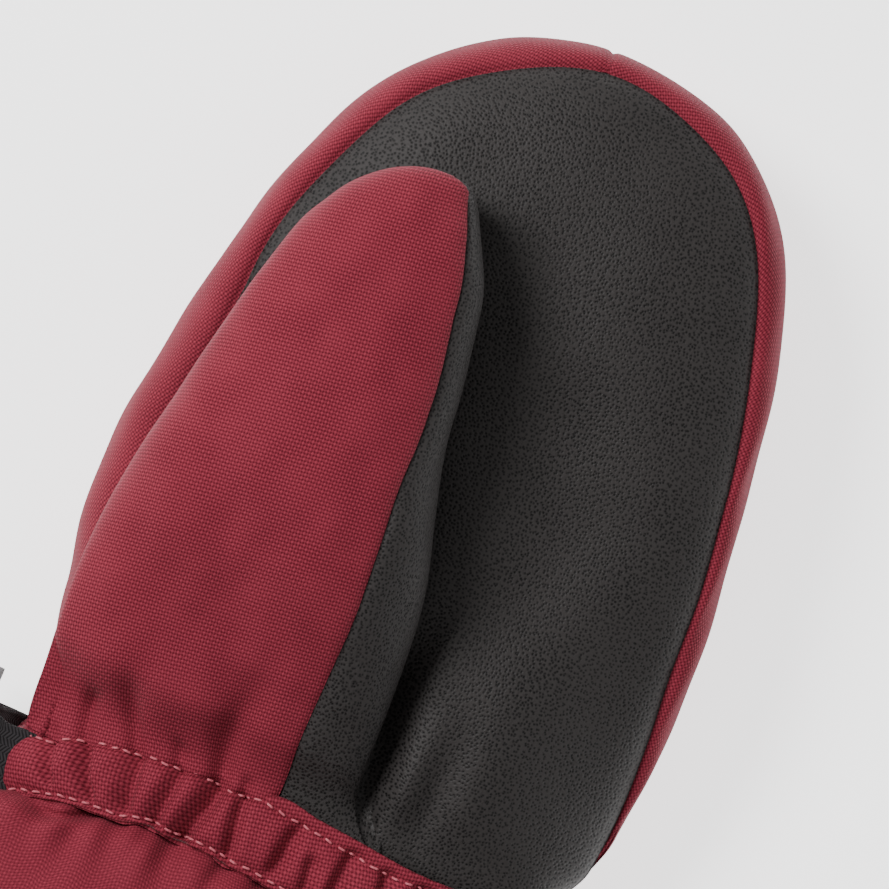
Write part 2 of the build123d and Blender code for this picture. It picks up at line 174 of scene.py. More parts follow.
def mesh_object(name, points, faces, uvs, material, weld=0.0):
    """A smooth-shaded object from points in (x, h, z) millimetres, faces and one texture point per vertex."""
    points = np.array(points, float).reshape(-1, 3)
    points[:, 1] += ROW_Y
    mesh = bpy.data.meshes.new(name)
    mesh.from_pydata((points * MM).tolist(), [], np.array(faces).tolist())
    layer = mesh.uv_layers.new(name="cloth")
    corners = np.zeros(len(mesh.loops), int)
    mesh.loops.foreach_get("vertex_index", corners)
    layer.data.foreach_set("uv", np.array(uvs, float).reshape(-1, 2)[corners].ravel())
    mesh.materials.append(material)
    obj = bpy.data.objects.new(name, mesh)
    bpy.context.scene.collection.objects.link(obj)
    if weld:
        bm = bmesh.new()
        bm.from_mesh(mesh)
        bmesh.ops.remove_doubles(bm, verts=bm.verts, dist=weld * MM)
        bmesh.ops.dissolve_degenerate(bm, edges=bm.edges, dist=1e-7)
        bm.to_mesh(mesh)
        bm.free()
    mesh.shade_smooth()
    return obj


def grid_faces(nu, nv, close_v=False, flip=False):
    """Quads of a grid, closed round its second way if asked."""
    i = np.arange(nu - 1)[:, None] * nv
    j = np.arange(nv if close_v else nv - 1)[None, :]
    after = (j + 1) % nv
    quads = np.stack([i + j, i + nv + j, i + nv + after, i + after], 2).reshape(-1, 4)
    return quads[:, ::-1] if flip else quads


def shell(name, grid, material, thick=0.9, turn=0.0, uv=None, weld=0.0, close_v=False, flip=False):
    """Cloth with a real thickness: the grid is its outer face and thick millimetres lie inside it."""
    nu, nv = grid.shape[:2]
    count = nu * nv
    inner = grid + (thick if flip else -thick) * normals_of(grid)
    if uv is None:
        uv = grid_uv(grid, turn)
    index = np.arange(count).reshape(nu, nv)
    edges = [(index[0], False), (index[-1], True)]
    if not close_v:
        edges += [(index[:, 0], True), (index[:, -1], False)]
    rims = []
    for line, reverse in edges:
        if close_v:
            line = np.append(line, line[0])
        a, b = line[:-1], line[1:]
        quads = np.stack([a, b, b + count, a + count], 1)
        rims.append(quads if reverse != flip else quads[:, ::-1])
    faces = np.vstack([
        grid_faces(nu, nv, close_v=close_v, flip=flip),
        grid_faces(nu, nv, close_v=close_v, flip=not flip) + count,
        *rims,
    ])
    return mesh_object(name, [grid, inner], faces, [uv, uv], material, weld)


# --- materials ---
class Nodes:
    """Short hand for building a material's nodes."""

    def __init__(self, name):
        self.material = bpy.data.materials.new(name)
        self.material.use_nodes = True
        self.tree = self.material.node_tree
        self.bsdf = self.tree.nodes["Principled BSDF"]

    def add(self, kind, **settings):
        node = self.tree.nodes.new(kind)
        for key, value in settings.items():
            setattr(node, key, value)
        return node

    def link(self, out, socket):
        self.tree.links.new(out, socket)

    def feed(self, value, socket):
        if isinstance(value, (int, float, tuple)):
            socket.default_value = value
        else:
            self.link(value, socket)

    def math(self, operation, a, b=0.0, c=0.0):
        node = self.add("ShaderNodeMath", operation=operation)
        for value, socket in zip((a, b, c), node.inputs):
            self.feed(value, socket)
        return node.outputs[0]

    def cloth(self):
        """Position along the cloth in millimetres, as separate outputs."""
        uv = self.add("ShaderNodeUVMap", uv_map="cloth")
        split = self.add("ShaderNodeSeparateXYZ")
        self.link(uv.outputs[0], split.inputs[0])
        return uv.outputs[0], split.outputs[0], split.outputs[1]

    def noise(self, vector, scale, detail=2.0):
        node = self.add("ShaderNodeTexNoise")
        node.inputs["Scale"].default_value = scale
        node.inputs["Detail"].default_value = detail
        self.link(vector, node.inputs["Vector"])
        return node.outputs["Fac"]

    def ramp(self, fac, stops):
        node = self.add("ShaderNodeValToRGB")
        while len(node.color_ramp.elements) < len(stops):
            node.color_ramp.elements.new(0.5)
        for element, (at, colour) in zip(node.color_ramp.elements, stops):
            element.position = at
            element.color = (*colour, 1.0)
        self.link(fac, node.inputs[0])
        return node.outputs[0]

    def vary(self, base, noise, amount):
        """A value that a noise moves up and down by some amount."""
        return self.math("MULTIPLY_ADD", self.math("SUBTRACT", noise, 0.5), amount, base)

    def bump(self, height, distance, strength):
        node = self.add("ShaderNodeBump")
        node.inputs["Distance"].default_value = distance * MM
        node.inputs["Strength"].default_value = strength
        self.link(height, node.inputs["Height"])
        return node.outputs[0]

    def surface(self, colour, roughness, normal=None, sheen=0.0, sheen_roughness=0.5, specular=0.5):
        values = {"Base Color": colour, "Roughness": roughness, "Sheen Weight": sheen,
                  "Sheen Roughness": sheen_roughness, "Specular IOR Level": specular}
        for name, value in values.items():
            self.feed(value, self.bsdf.inputs[name])
        if normal is not None:
            self.link(normal, self.bsdf.inputs["Normal"])
        return self.material


def weave_material(name, light, dark, pitch=YARN, across=0.51, contrast=1.15):
    """Plain weave: rows of small floats, alternately over and under, with the gaps between them painted
    darker as shade.
    """
    n = Nodes(name)
    vector, u, v = n.cloth()
    drift = n.vary(n.vary(0.0, n.noise(vector, 0.22), 1.6), n.noise(vector, 0.9), 0.35)
    row = n.math("MULTIPLY_ADD", v, math.pi / pitch, drift)
    column = n.math("MULTIPLY_ADD", u, math.pi / across, drift)
    over = n.math("MULTIPLY", n.math("COSINE", row), n.math("COSINE", column))
    height = n.math("MULTIPLY_ADD", n.math("COSINE", n.math("MULTIPLY", row, 2.0)), 0.22, 0.5)
    height = n.math("MULTIPLY_ADD", n.math("COSINE", n.math("MULTIPLY", column, 2.0)), 0.19, height)
    height = n.math("MULTIPLY_ADD", over, 0.20, height)
    # the colour follows the weave's height, so the gaps between yarns are painted shade; the noises add
    # random tone
    shade = n.vary(height, n.noise(vector, 6.0, 3.0), 0.9)
    shade = n.vary(shade, n.noise(vector, 0.10, 3.0), 0.30)
    colour = n.ramp(n.vary(0.5, shade, contrast), [(0.08, dark), (0.92, light)])
    return n.surface(colour, 0.8, n.bump(height, 0.10, 0.85), sheen=0.04, sheen_roughness=0.4, specular=0.12)


def leather_material(name, light, dark):
    """Fine grain leather: small pores set close together, with uneven grain between them; the colour follows
    the grain's height, so the pores and low grain are painted darker as shade.
    """
    n = Nodes(name)
    vector = n.cloth()[0]
    pores = n.add("ShaderNodeTexVoronoi", feature="F1", voronoi_dimensions="2D")
    pores.inputs["Scale"].default_value = 1.45
    pores.inputs["Randomness"].default_value = 0.85
    n.link(vector, pores.inputs["Vector"])
    pit = n.math("SMOOTH_MIN", n.math("MULTIPLY", pores.outputs["Distance"], 2.1), 1.0, 0.25)
    height = n.math("MULTIPLY_ADD", n.noise(vector, 2.1, 3.0), 0.75, n.math("MULTIPLY", pit, 0.65))
    # painted shade: the pores and low grain are darker because the colour follows the height; the noise adds
    # random tone
    pore_shade_and_tone = n.vary(height, n.noise(vector, 0.09, 3.0), 0.35)
    colour = n.ramp(pore_shade_and_tone, [(0.42, dark), (1.15, light)])
    return n.surface(colour, 0.52, n.bump(height, 0.17, 0.9), specular=0.18)


def webbing_material(name, light, dark):
    """Ribbed nylon webbing, with yarns that slant one way on one rib and the other way on the next."""
    n = Nodes(name)
    vector, u, v = n.cloth()
    rib = n.math("GREATER_THAN", n.math("FRACT", n.math("DIVIDE", v, 2.5)), 0.5)
    slant = n.math("MULTIPLY", n.math("DIVIDE", v, 1.1), n.math("MULTIPLY_ADD", rib, -2.0, 1.0))
    phase = n.math("ADD", n.math("DIVIDE", u, 0.7), slant)
    yarn = n.math("ABSOLUTE", n.math("SINE", n.math("MULTIPLY", phase, math.pi)))
    # the colour follows the yarns' height, so the grooves between yarns are painted shade; the noise adds
    # random tone
    colour = n.ramp(n.vary(yarn, n.noise(vector, 8.0, 3.0), 0.9), [(0.25, dark), (0.95, light)])
    return n.surface(colour, 0.75, n.bump(yarn, 0.12, 0.8), sheen=0.05, specular=0.2)


def plain_material(name, light, dark, scale, roughness, depth=0.03, specular=0.5, sheen=0.0):
    """Fine-grained surface for moulded plastic, thread, elastic, film and fleece."""
    n = Nodes(name)
    noise = n.noise(n.add("ShaderNodeTexCoord").outputs["Object"], scale / MM, 3.0)
    colour = n.ramp(noise, [(0.3, dark), (0.7, light)])
    rough = n.math("MULTIPLY_ADD", noise, 0.15, roughness - 0.075)
    return n.surface(colour, rough, n.bump(noise, depth, 0.6), sheen=sheen, specular=specular)


RED, RED_DARK = (0.300, 0.036, 0.058), (0.085, 0.005, 0.012)
shell_cloth = weave_material("red_weave", RED, RED_DARK)
casing_cloth = weave_material("red_weave_casing", RED, RED_DARK, pitch=0.70, across=0.56)
cuff_cloth = weave_material("red_weave_cuff", RED, RED_DARK, contrast=0.7)
leather = leather_material("charcoal_leather", (0.0345, 0.0308, 0.0300), (0.0006, 0.0005, 0.0005))
webbing = webbing_material("black_webbing", (0.030, 0.027, 0.029), (0.004, 0.004, 0.0045))
fleece = plain_material("charcoal_fleece", (0.035, 0.033, 0.033), (0.012, 0.012, 0.013), 0.9, 0.95, 0.35, 0.2,
                        sheen=0.3)
thread = plain_material("pink_thread", (0.62, 0.17, 0.20), (0.40, 0.07, 0.10), 2.0, 0.6, 0.04, 0.2)
plastic = plain_material("black_acetal", (0.014, 0.014, 0.015), (0.009, 0.009, 0.010), 1.5, 0.6, 0.02, 0.12)
film = plain_material("waterproof_film", (0.58, 0.60, 0.62), (0.46, 0.48, 0.50), 0.3, 0.35, 0.05)
wadding = plain_material("white_wadding", (0.66, 0.66, 0.64), (0.46, 0.46, 0.44), 0.6, 0.95, 0.4, 0.2, 0.3)
elastic = plain_material("white_elastic", (0.52, 0.51, 0.48), (0.32, 0.31, 0.29), 1.2, 0.8, 0.1)
label_cloth = plain_material("blank_label", (0.58, 0.57, 0.54), (0.46, 0.45, 0.42), 2.0, 0.7, 0.05)

# --- gathered wrist ---
RING_POWER = 0.72  # how square the wrist's section is
RING_HALF, RING_HEIGHT = casing_high[0] + 0.9, (WRIST_HIGH_Z - WRIST_LOW_Z) / 2 + 0.4

# creases of the gathering on the palm's side: (h, x) from the top down, depth and width
CREASES = [
    ([(-1, -43.8), (-6, -42.4), (-13.5, -38.6)], 1.1, 1.3),
    ([(8, -38.8), (0.7, -38.4), (-5, -36.2), (-13, -31.6)], 1.7, 1.5),
    ([(15.6, -35.2), (6, -32), (-0.7, -28.2), (-12.5, -26.2)], 1.7, 1.8),
    ([(5.5, -22.8), (1.2, -20.6), (-12.5, -20.8)], 1.3, 1.4),
    ([(29, -11.6), (16, -13.6), (6.5, -14.6), (2.1, -13.2), (-13, -16)], 2.3, 2),
    ([(4.5, -8.8), (-3, -7.4), (-12, -6.2)], 1.3, 1.3),
    ([(1, 3.2), (-4, 2.6), (-11.5, 1.4)], 1.5, 1.5),
    ([(-2.5, 7.4), (-8, 8), (-12.5, 8.8)], 1, 1.4),
    ([(1, 14), (-5, 13.2), (-12.5, 13)], 1.4, 1.6),
    ([(0.5, 20.6), (-12.5, 21)], 1.2, 1.5),
    ([(0.5, 27.8), (-6, 27.2), (-12.5, 28.6)], 1.4, 1.6),
    ([(0.5, 35), (-12.5, 34)], 1.2, 1.5),
    ([(0.5, 41.2), (-12.5, 41.8)], 1.3, 1.4),
]


def ring_point(angle, h, grow=0.0):
    """Point of the wrist's outer section at an angle from +X towards the palm."""
    x = (RING_HALF + grow) * curved(np.cos(angle), RING_POWER)
    z = WRIST_MID_Z + (RING_HEIGHT + grow) * curved(np.sin(angle), RING_POWER)
    return np.stack(np.broadcast_arrays(x, h, z), -1)


def to_wrist(grid, inset, top=13.0):
    """Draws a hand surface in to the wrist's section where it nears the wrist."""
    x, h, z = grid[..., 0], grid[..., 1], grid[..., 2] - WRIST_MID_Z
    reach = np.maximum(np.hypot(x, z), 1e-6)
    power = 2 / RING_POWER
    # it goes under the casing, whose edge is lower on the thumb's side
    edge_h = table(x, [(-49, -6.6), (-45.6, -5.9), (-38, -2.8), (-28.9, -0.6), (-20, 0.2), (60, 0)])
    edge_h = edge_h * step(-8, 2, z)
    inset = inset + 1.6 * (1 - step(-1.8, 0.4, h - edge_h))
    a, b = RING_HALF - inset, RING_HEIGHT - inset
    edge = (np.abs(x / reach / a) ** power + np.abs(z / reach / b) ** power) ** (-1 / power)
    scale = 1 + (1 - step(-1.0, top, h)) * (edge / reach - 1)
    out = grid.copy()
    out[..., 0], out[..., 2] = x * scale, z * scale + WRIST_MID_Z
    return out


def crease_depth(x, h):
    """How deep the gathering's creases are at a place on the palm's side."""
    total = np.zeros(np.broadcast(x, h).shape)
    for points, depth, width in CREASES:
        top, low = points[0][0], points[-1][0]
        centre = table(h, points)
        along = step(low, low + 3.0, h) * (1 - step(top - max(3.0, 0.75 * (top - 1)), top, h))
        spread = width * (1 + 0.9 * step(0, 20, h))
        total += depth * along * bell(x - centre, spread)
    return total


def back_creases():
    """Creases round the rest of the wrist, unevenly spaced: the angles they run at, depths and widths."""
    angle, out = math.radians(186), []
    while angle < math.radians(354):
        out.append((angle, RNG.uniform(0.8, 1.6), RNG.uniform(0.035, 0.06), RNG.uniform(-0.05, 0.05)))
        angle += RNG.uniform(0.14, 0.26)
    return out


BACK_CREASES = back_creases()


def ring_creases(angle, x, h):
    """Creases all round the wrist, at the section's angle."""
    palm_side = step(0.02, 0.25, np.sin(angle))
    total = crease_depth(x, h) * palm_side
    for at, depth, width, lean in BACK_CREASES:
        off = (angle - at - lean * (h + 6) / 6 + math.pi) % (2 * math.pi) - math.pi
        total = total + depth * bell(off, width) * step(-13.5, -10, h) * (1 - step(-2, 3, h))
    return total


def even_angles(count):
    """Angles round the wrist's section, evenly spread along it."""
    dense = np.linspace(0, 2 * math.pi, 4000)
    run = running(ring_point(dense, 0.0))
    return np.interp(np.linspace(0, run[-1], count, endpoint=False), run, dense)


def round_uv(v, degrees):
    """Texture coordinates round the wrist's section, from the place v along the cloth."""
    around = running(ring_point(np.linspace(0, 2 * math.pi, 4000), 0.0))[-1]
    return turned(np.broadcast_to(np.linspace(0, -around, v.shape[1]), v.shape), v, degrees)


UPPER_EDGE = [(-60, -5.6), (-48, -5.6), (-45.6, -5), (-38, -1.9), (-28.9, 0.2), (-20, 1), (-6, 1.5),
              (-2.5, 2.9), (5.5, 2.2), (12, 1.8), (24, 0.9), (40, 1.6), (60, 1.6)]
UPPER_ROW = [(-49, -7), (-45.6, -6.2), (-41.8, -4.6), (-38.3, -3.1), (-28.9, -0.9), (-21.8, 0), (-8.7, 0.5),
             (-3.3, 0.9), (1.5, 0.5), (6.9, -0.1), (12.4, -0.7), (24.2, -1.6), (40, -1), (50, -1)]
LOWER_ROW = [(-49, -16.4), (-44.7, -15.7), (-36.7, -12.9), (-28.5, -12), (-20.8, -10.4), (-11.3, -10.4),
             (-3.6, -10.6), (2.5, -11.2), (12, -11.6), (30, -12), (50, -11.4)]


def upper_edge(x, angle):
    """Height of the casing's upper edge, which laps over the leather and runs into the thumb."""
    return 1.6 + (table(x, UPPER_EDGE) - 1.6) * step(-0.75, 0.15, np.sin(angle))


def rows_at(x, angle):
    """Heights of both stitch rows all round the wrist."""
    palm_side = step(-0.35, 0.25, np.sin(angle))
    waver = 0.40 * wobble(x, 40 * np.sin(angle), 11, 71)
    upper = -1.4 + palm_side * (table(x, UPPER_ROW) + 1.4) + waver
    lower = -12.0 + palm_side * (table(x, LOWER_ROW) + 12.0) - waver
    return upper, lower


def casing_surface(angle, t):
    """The casing, t from 0 at its upper edge to 1 just below the lower stitch row."""
    x = ring_point(angle, 0.0)[..., 0]
    top, (up, low) = upper_edge(x, angle), rows_at(x, angle)
    h = top + (low - 1.0 - top) * t
    puff = np.sin(math.pi * np.clip((h - low) / (up - low), 0, 1)) ** 0.8
    rows = 0.45 * (bell(h - up, 0.8) + bell(h - low, 0.8))
    crumple = 0.35 * wobble(x * 1.6, h, 9, 21) * puff
    grow = 0.2 + 1.2 * puff - rows - 1.75 * ring_creases(angle, x, h) + crumple
    # on the left the upper edge runs into the thumb's cloth, so it sinks away there
    into = step(-0.3, 0.1, np.sin(angle)) * (1 - step(-5.5, -3.0, x)) * bell((h - top) / 0.9, 1)
    grow = grow - 1.5 * into
    return ring_point(angle, h, grow)


def make_casing():
    grid = casing_surface(even_angles(760)[None, :], np.linspace(0, 1, 44)[:, None])
    uv = round_uv(grid[:, :, 1], -13)
    return shell("wrist_casing", grid, casing_cloth, 0.8, uv=uv, close_v=True, flip=True)


def stitches_on(name, line, away):
    """Short stitches along a closed line, each dipping into the cloth at its ends."""
    line, away = np.vstack([line, line[:1]]), np.vstack([away, away[:1]])
    run = running(line)
    pitch, length, thick, sides, steps = 2.38, 1.65, 0.21, 7, 9
    turn = (2 * math.pi * np.arange(sides) / sides)[None, :, None]
    f = np.linspace(-1, 1, steps)
    lift = 0.22 + 0.26 * (1 - f**4) - 0.4 * np.abs(f) ** 6
    size = thick * (1 - 0.55 * np.abs(f) ** 6)
    points, faces, uvs = [], [], []
    start = 0.0
    while start + length < run[-1]:
        s = np.linspace(start, start + length * RNG.uniform(0.85, 1.1), steps)
        spine, out = (np.stack([np.interp(s, run, column) for column in of.T], 1) for of in (line, away))
        tangent = unit(np.gradient(spine, axis=0))
        out[:, 1] = 0
        out = unit(out - tangent * (out * tangent).sum(1, keepdims=True))
        side = np.cross(tangent, out)
        lean = RNG.uniform(-0.16, 0.16) * f
        body = spine + out * lift[:, None] + side * lean[:, None]
        ring = np.cos(turn) * side[:, None] * 1.1 + np.sin(turn) * out[:, None]
        faces += (grid_faces(steps, sides, close_v=True) + len(points) * steps * sides).tolist()
        points.append(body[:, None] + size[:, None, None] * ring)
        uvs.append(np.stack(np.broadcast_arrays(s[:, None], np.arange(sides) * 0.2), 2))
        start += pitch * RNG.uniform(0.92, 1.08)
    return mesh_object(name, points, faces, uvs, thread)


def wrist_stitches(name, which):
    """Stitches round the wrist, lying in their groove: which is 0 for the upper row and 1 for the lower."""
    angles = even_angles(760)
    x = ring_point(angles, 0.0)[..., 0]
    rows, top = rows_at(x, angles), upper_edge(x, angles)
    line = casing_surface(angles, (rows[which] - top) / (rows[1] - 1.0 - top))
    return stitches_on(name, line, (line - [0, 0, WRIST_MID_Z]) * [0.3, 1, 1])


# --- outlines, seen from the palm ---
# (h, x) down the two sides of the mitten's edge and of the palm's seam, and the fingertip ends between them
EDGE_LEFT = [(-4, -48), (3, -48.6), (10, -49.8), (20, -51), (32, -53.6), (47, -54.6), (62, -53.6),
             (80, -51.2)]
EDGE_RIGHT = [(-4, 48.6), (3, 50.6), (11, 52.2), (22, 53.2), (37, 53.8), (54, 53.1), (66, 51.7), (80, 49.4)]
SEAM_LEFT = [(-4, -43.5), (20, -45.6), (47, -47), (62, -46.2), (80, -45.2)]
SEAM_RIGHT = [(-4, 48.4), (3, 50.4), (11, 52), (22, 52.7), (37, 51.8), (50, 50.2), (65, 48.9), (80, 46.4)]
EDGE_TIP = [(-49.6, 89), (-45.6, 105.6), (-37, 124.4), (-23.4, 136.9), (-11.2, 142.1), (0.5, 143.6),
            (14.9, 141.8), (24.6, 137.2), (33.9, 128.6), (40.8, 116), (45.8, 99.8)]
SEAM_TIP = [(-44.5, 92), (-41, 103.5), (-34.2, 120.3), (-28.4, 126.9), (-17.2, 134.7), (-7.7, 139.5),
            (1.5, 140.9), (12.6, 137.8), (20.3, 135.2), (26.2, 131.5), (31.1, 125.4), (35, 118.3),
            (42.2, 97.5)]
# height of the palm's seam: it runs down the edge near the heel on the little finger's side
SEAM_Z_RIGHT = [(-4, 21), (11, 21.4), (22, 22.8), (37, 26.4), (54, 29.8), (80, 31.4)]
SEAM_Z = 31.8
GUSSET_END_X = node_box("gusset_thumb_side")[1][0]

SIDE_ROWS, TIP_ROWS = 118, 250
RIM, RIM_RADIUS = math.radians(34), 16  # how far the edge rolls under the hand, and how roundly


def tip_radius(tip, left_x, right_x, angles):
    """Distance from the fingertip centre to an outline, at each angle."""
    line = smooth_curve([(left_x, FAN_H), *tip, (right_x, FAN_H)], 900)
    x, h = line[:, 0], line[:, 1] - FAN_H
    found = np.arctan2(h, x)
    order = np.argsort(found)
    return np.interp(angles, found[order], np.hypot(x, h)[order])


class Outline:
    """Stations round the hand from the wrist on the thumb's side, over the fingertips, to the other side."""

    def __init__(self):
        rising = np.linspace(-8.5, FAN_H, SIDE_ROWS)
        falling = rising[::-1]
        angles = np.linspace(math.pi, 0, TIP_ROWS)[1:-1]
        tip, ones = len(angles), np.ones(SIDE_ROWS)
        edge_r = tip_radius(EDGE_TIP, EDGE_LEFT[-1][1], EDGE_RIGHT[-1][1], angles)
        seam_r = tip_radius(SEAM_TIP, SEAM_LEFT[-1][1], SEAM_RIGHT[-1][1], angles)
        reach = 24
        kernel = np.exp(-0.5 * (np.arange(-reach, reach + 1) / 9.0) ** 2)
        padded = np.pad(seam_r, reach, mode="reflect", reflect_type="odd")
        seam_r = np.convolve(padded, kernel / kernel.sum(), mode="valid")
        self.centre_h = np.concatenate([rising, np.full(tip, FAN_H), falling])[:, None]
        self.out_x = np.concatenate([-ones, np.cos(angles), ones])[:, None]
        self.out_h = np.concatenate([0 * ones, np.sin(angles), 0 * ones])[:, None]
        edge = np.concatenate([-table(rising, EDGE_LEFT), edge_r, table(falling, EDGE_RIGHT)])[:, None]
        self.seam = np.concatenate([-table(rising, SEAM_LEFT), seam_r, table(falling, SEAM_RIGHT)])[:, None]
        tip_z = SEAM_Z + (SEAM_Z_RIGHT[-1][1] - SEAM_Z) * step(0, 1, np.arange(tip) / tip)
        self.seam_z = np.concatenate([SEAM_Z * ones, tip_z, table(falling, SEAM_Z_RIGHT)])[:, None]
        self.edge = edge * SEEN_SCALE
        # where the hand narrows to the wrist its back rises from the surface it lies on
        base_z = WRIST_LOW_Z * (1 - step(-2, 16, self.centre_h + self.out_h * edge))
        self.depth = SIDE_Z - base_z - 0.3
        self.back_seam = self.edge - RIM_RADIUS * (1 - math.cos(RIM))

    def at(self, radius, z):
        """Points of each station at the given distances from the centre line."""
        radius, z = np.broadcast_arrays(radius, z)
        return np.stack([self.out_x * radius, self.centre_h + self.out_h * radius, z], 2)


outline = Outline()


# --- hand ---
def seam_dip(distance, depth, width):
    """How far cloth sinks towards a seam at that distance."""
    return depth * np.exp(-np.abs(distance) / width)


def palm_relief(x, h):
    """Bulges and hollows of the padded palm."""
    valley_x = table(h, [(-4, 11.0), (2, 10.4), (17, 8.6), (27, 7.2), (45, 8)])
    z = 1.9 * bell((x - 31) / 15, 1) * bell((h - 31) / 15, 1)
    z -= 6.0 * bell(x - valley_x, 4.2) * (1 - step(22, 50, h))
    z += 1.3 * bell(x - 16.5, 3.2) * bell(h - 14, 11)
    z -= 1.5 * bell(x - 22.0, 3.2) * bell(h - 13, 12)
    z -= 1.3 * bell(x - 14, 13) * bell(h - 78, 34)
    return z + 0.8 * wobble(x, h, 42, 3)


def palm_surface(r):
    """Palm panel at fractions r of the way from the centre line to the seam."""
    r = r[None, :]
    crown = PALM_Z - (PALM_Z - WRIST_HIGH_Z + 0.6) * (1 - step(-3, 16, outline.centre_h))
    z = outline.seam_z + (crown - outline.seam_z) * (1 - r**3.0) ** 0.8
    grid = outline.at(outline.seam * r, z)
    grid[:, :, 2] += palm_relief(grid[:, :, 0], grid[:, :, 1]) * (1 - r**5)
    x, h = grid[:, :, 0], grid[:, :, 1]
    # it sinks out of sight under the thumb
    under = (1 - step(-15, -4, x - table(h, [(-4, 9.0), (30, 7.0), (60, -2.0)]))) * (1 - step(34, 58, h))
    grid[:, :, 2] -= 7.0 * under * (1 - r**8)
    grid = to_wrist(grid, 1.6 + 4.5 * under)
    grid[:, :, 2] -= crease_depth(x, h) * 1.05
    grid[:, :, 2] -= seam_dip(outline.seam * (1 - r), 0.8, 1.0)
    return grid


def side_surface(v):
    """Side gusset: v from 0 at the palm's seam to 1 at the back's seam."""
    v = v[None, :]
    a = np.clip(v / 0.5, 0, 1) * math.pi / 2
    b = np.clip((v - 0.5) / 0.5, 0, 1) * RIM
    upper_r = outline.seam + np.maximum(outline.edge - outline.seam, 0.25) * np.sin(a) ** 0.8
    upper_z = SIDE_Z + (outline.seam_z - SIDE_Z) * np.cos(a)
    lower_r = outline.edge - RIM_RADIUS * (1 - np.cos(b))
    lower_z = SIDE_Z - outline.depth * np.sin(b)
    grid = outline.at(np.where(v < 0.5, upper_r, lower_r), np.where(v < 0.5, upper_z, lower_z))
    run = lengths_of(grid, 1)
    to_palm, to_back = run, run[:, -1:] - run
    sink = seam_dip(to_palm, 1.0, 1.0) + seam_dip(to_back, 0.5, 1.0)
    ripple = 0.35 * wobble(lengths_of(grid, 0), run, 26, 11) * step(0, 3, to_palm) * step(0, 3, to_back)
    return to_wrist(grid + normals_of(grid) * (ripple - sink)[:, :, None], 0.9, top=20)


def back_surface(r):
    """Back panel: r from 0 at the middle of the back to 1 at its seam."""
    r = r[None, :]
    radius = outline.back_seam * r
    inside = np.clip((outline.edge - radius) / RIM_RADIUS, 0, 1)
    z = SIDE_Z - outline.depth * np.sqrt(np.clip(1 - (1 - inside) ** 2, 0, 1))
    grid = outline.at(radius, z)
    grid[:, :, 2] += 0.25 * (1 + wobble(grid[:, :, 0], grid[:, :, 1], 30, 5)) * (1 - r**6)
    grid[:, :, 2] += seam_dip(outline.back_seam * (1 - r), 0.4, 1.0)
    return to_wrist(grid, 1.6)


def tip_split():
    """Station where the two gussets meet at the fingertips."""
    x = outline.out_x * outline.edge
    return int(np.argmin(np.abs(x - GUSSET_END_X) + 1e3 * (outline.centre_h < FAN_H)))


def declare(piece, body, nodes, part_slot, fill=None):
    """What a piece moves with and which CAD nodes it stands for, which are hidden. Its slot and how full it
    is if it is padded are not used.
    """
    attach(piece, body)
    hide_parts(*nodes)


def make_hand():
    grid = palm_surface(1 - np.linspace(1, 0, 74) ** 1.15)
    palm = shell("palm_leather_panel", grid, leather, 1.0, uv=grid[:, :, :2], weld=0.004)
    declare(palm, "hand", ["palm_panel"], "palm_leather", 0.6)
    whole, split = side_surface(np.linspace(0, 1, 46)), tip_split()
    for name, grid, end, turn, node in (
        ("gusset_left", whole[:split + 1], -1, 28, "gusset_thumb_side"),
        ("gusset_right", whole[split:], 0, -35, "gusset_little_finger_side"),
    ):
        away = np.linalg.norm(grid - grid[end], axis=2)
        grid = grid - normals_of(grid) * seam_dip(away, 0.5, 0.45)[:, :, None]
        side = shell(name, grid, shell_cloth, 0.9, turn=turn)
        declare(side, "hand", [node], "shell_fabric", 0.6)
    grid = back_surface(1 - np.linspace(1, 0, 60) ** 1.1)
    back = shell("back_fabric_panel", grid, shell_cloth, 0.9, uv=grid[:, :, :2], weld=0.004, flip=True)
    declare(back, "hand", ["back_panel"], "shell_fabric", 0.6)


make_hand()

# --- thumb ---
THUMB_LEFT = [(-47.6, -5), (-48.4, 0), (-49, 8), (-50.4, 22), (-50.5, 35), (-49.5, 46), (-47.6, 57.6),
              (-45.8, 69.5), (-43.9, 80), (-40.9, 93.5), (-38.2, 99.4), (-35.9, 103.4), (-32.7, 106.9),
              (-29, 109.6), (-24.6, 111.4), (-20.2, 112)]
THUMB_RIGHT = [(10.2, -5), (10.2, 1), (9.2, 12), (8.4, 22), (7.3, 35), (5.4, 46), (1.6, 58), (-1.8, 69.5),
               (-3.5, 80), (-6.3, 93), (-8.8, 99.4), (-12, 105.2), (-14.4, 109.2), (-16.6, 111.4),
               (-20.2, 112)]
THUMB_SEAM = [(-5, -2.7), (3, -2.8), (13.3, -3.2), (36, -3.5), (58, -5.3), (78, -6.9), (90, -9), (99, -11.2),
              (107, -14), (112, -16.4)]
THUMB_TOP = [(-5, 38), (0, 38.6), (5, 41.5), (12, 45.5), (20, 49.5), (30, 55), (40, 60.2), (50, 64),
             (60, 65.6), (75, 65.8), (92, 64.6), (103, 62), (112, 57)]
THUMB_WIDE = [(-5, 28), (5, 34), (15, 39.5), (30, 43.5), (45, 48), (60, 51.5), (80, 52.5), (112, 51.6)]
THUMB_LOW = [(-5, 20), (10, 24), (30, 29), (46, 35), (58, 40.9), (100, 41), (112, 44)]
UNDER_SEAM = math.radians(206)


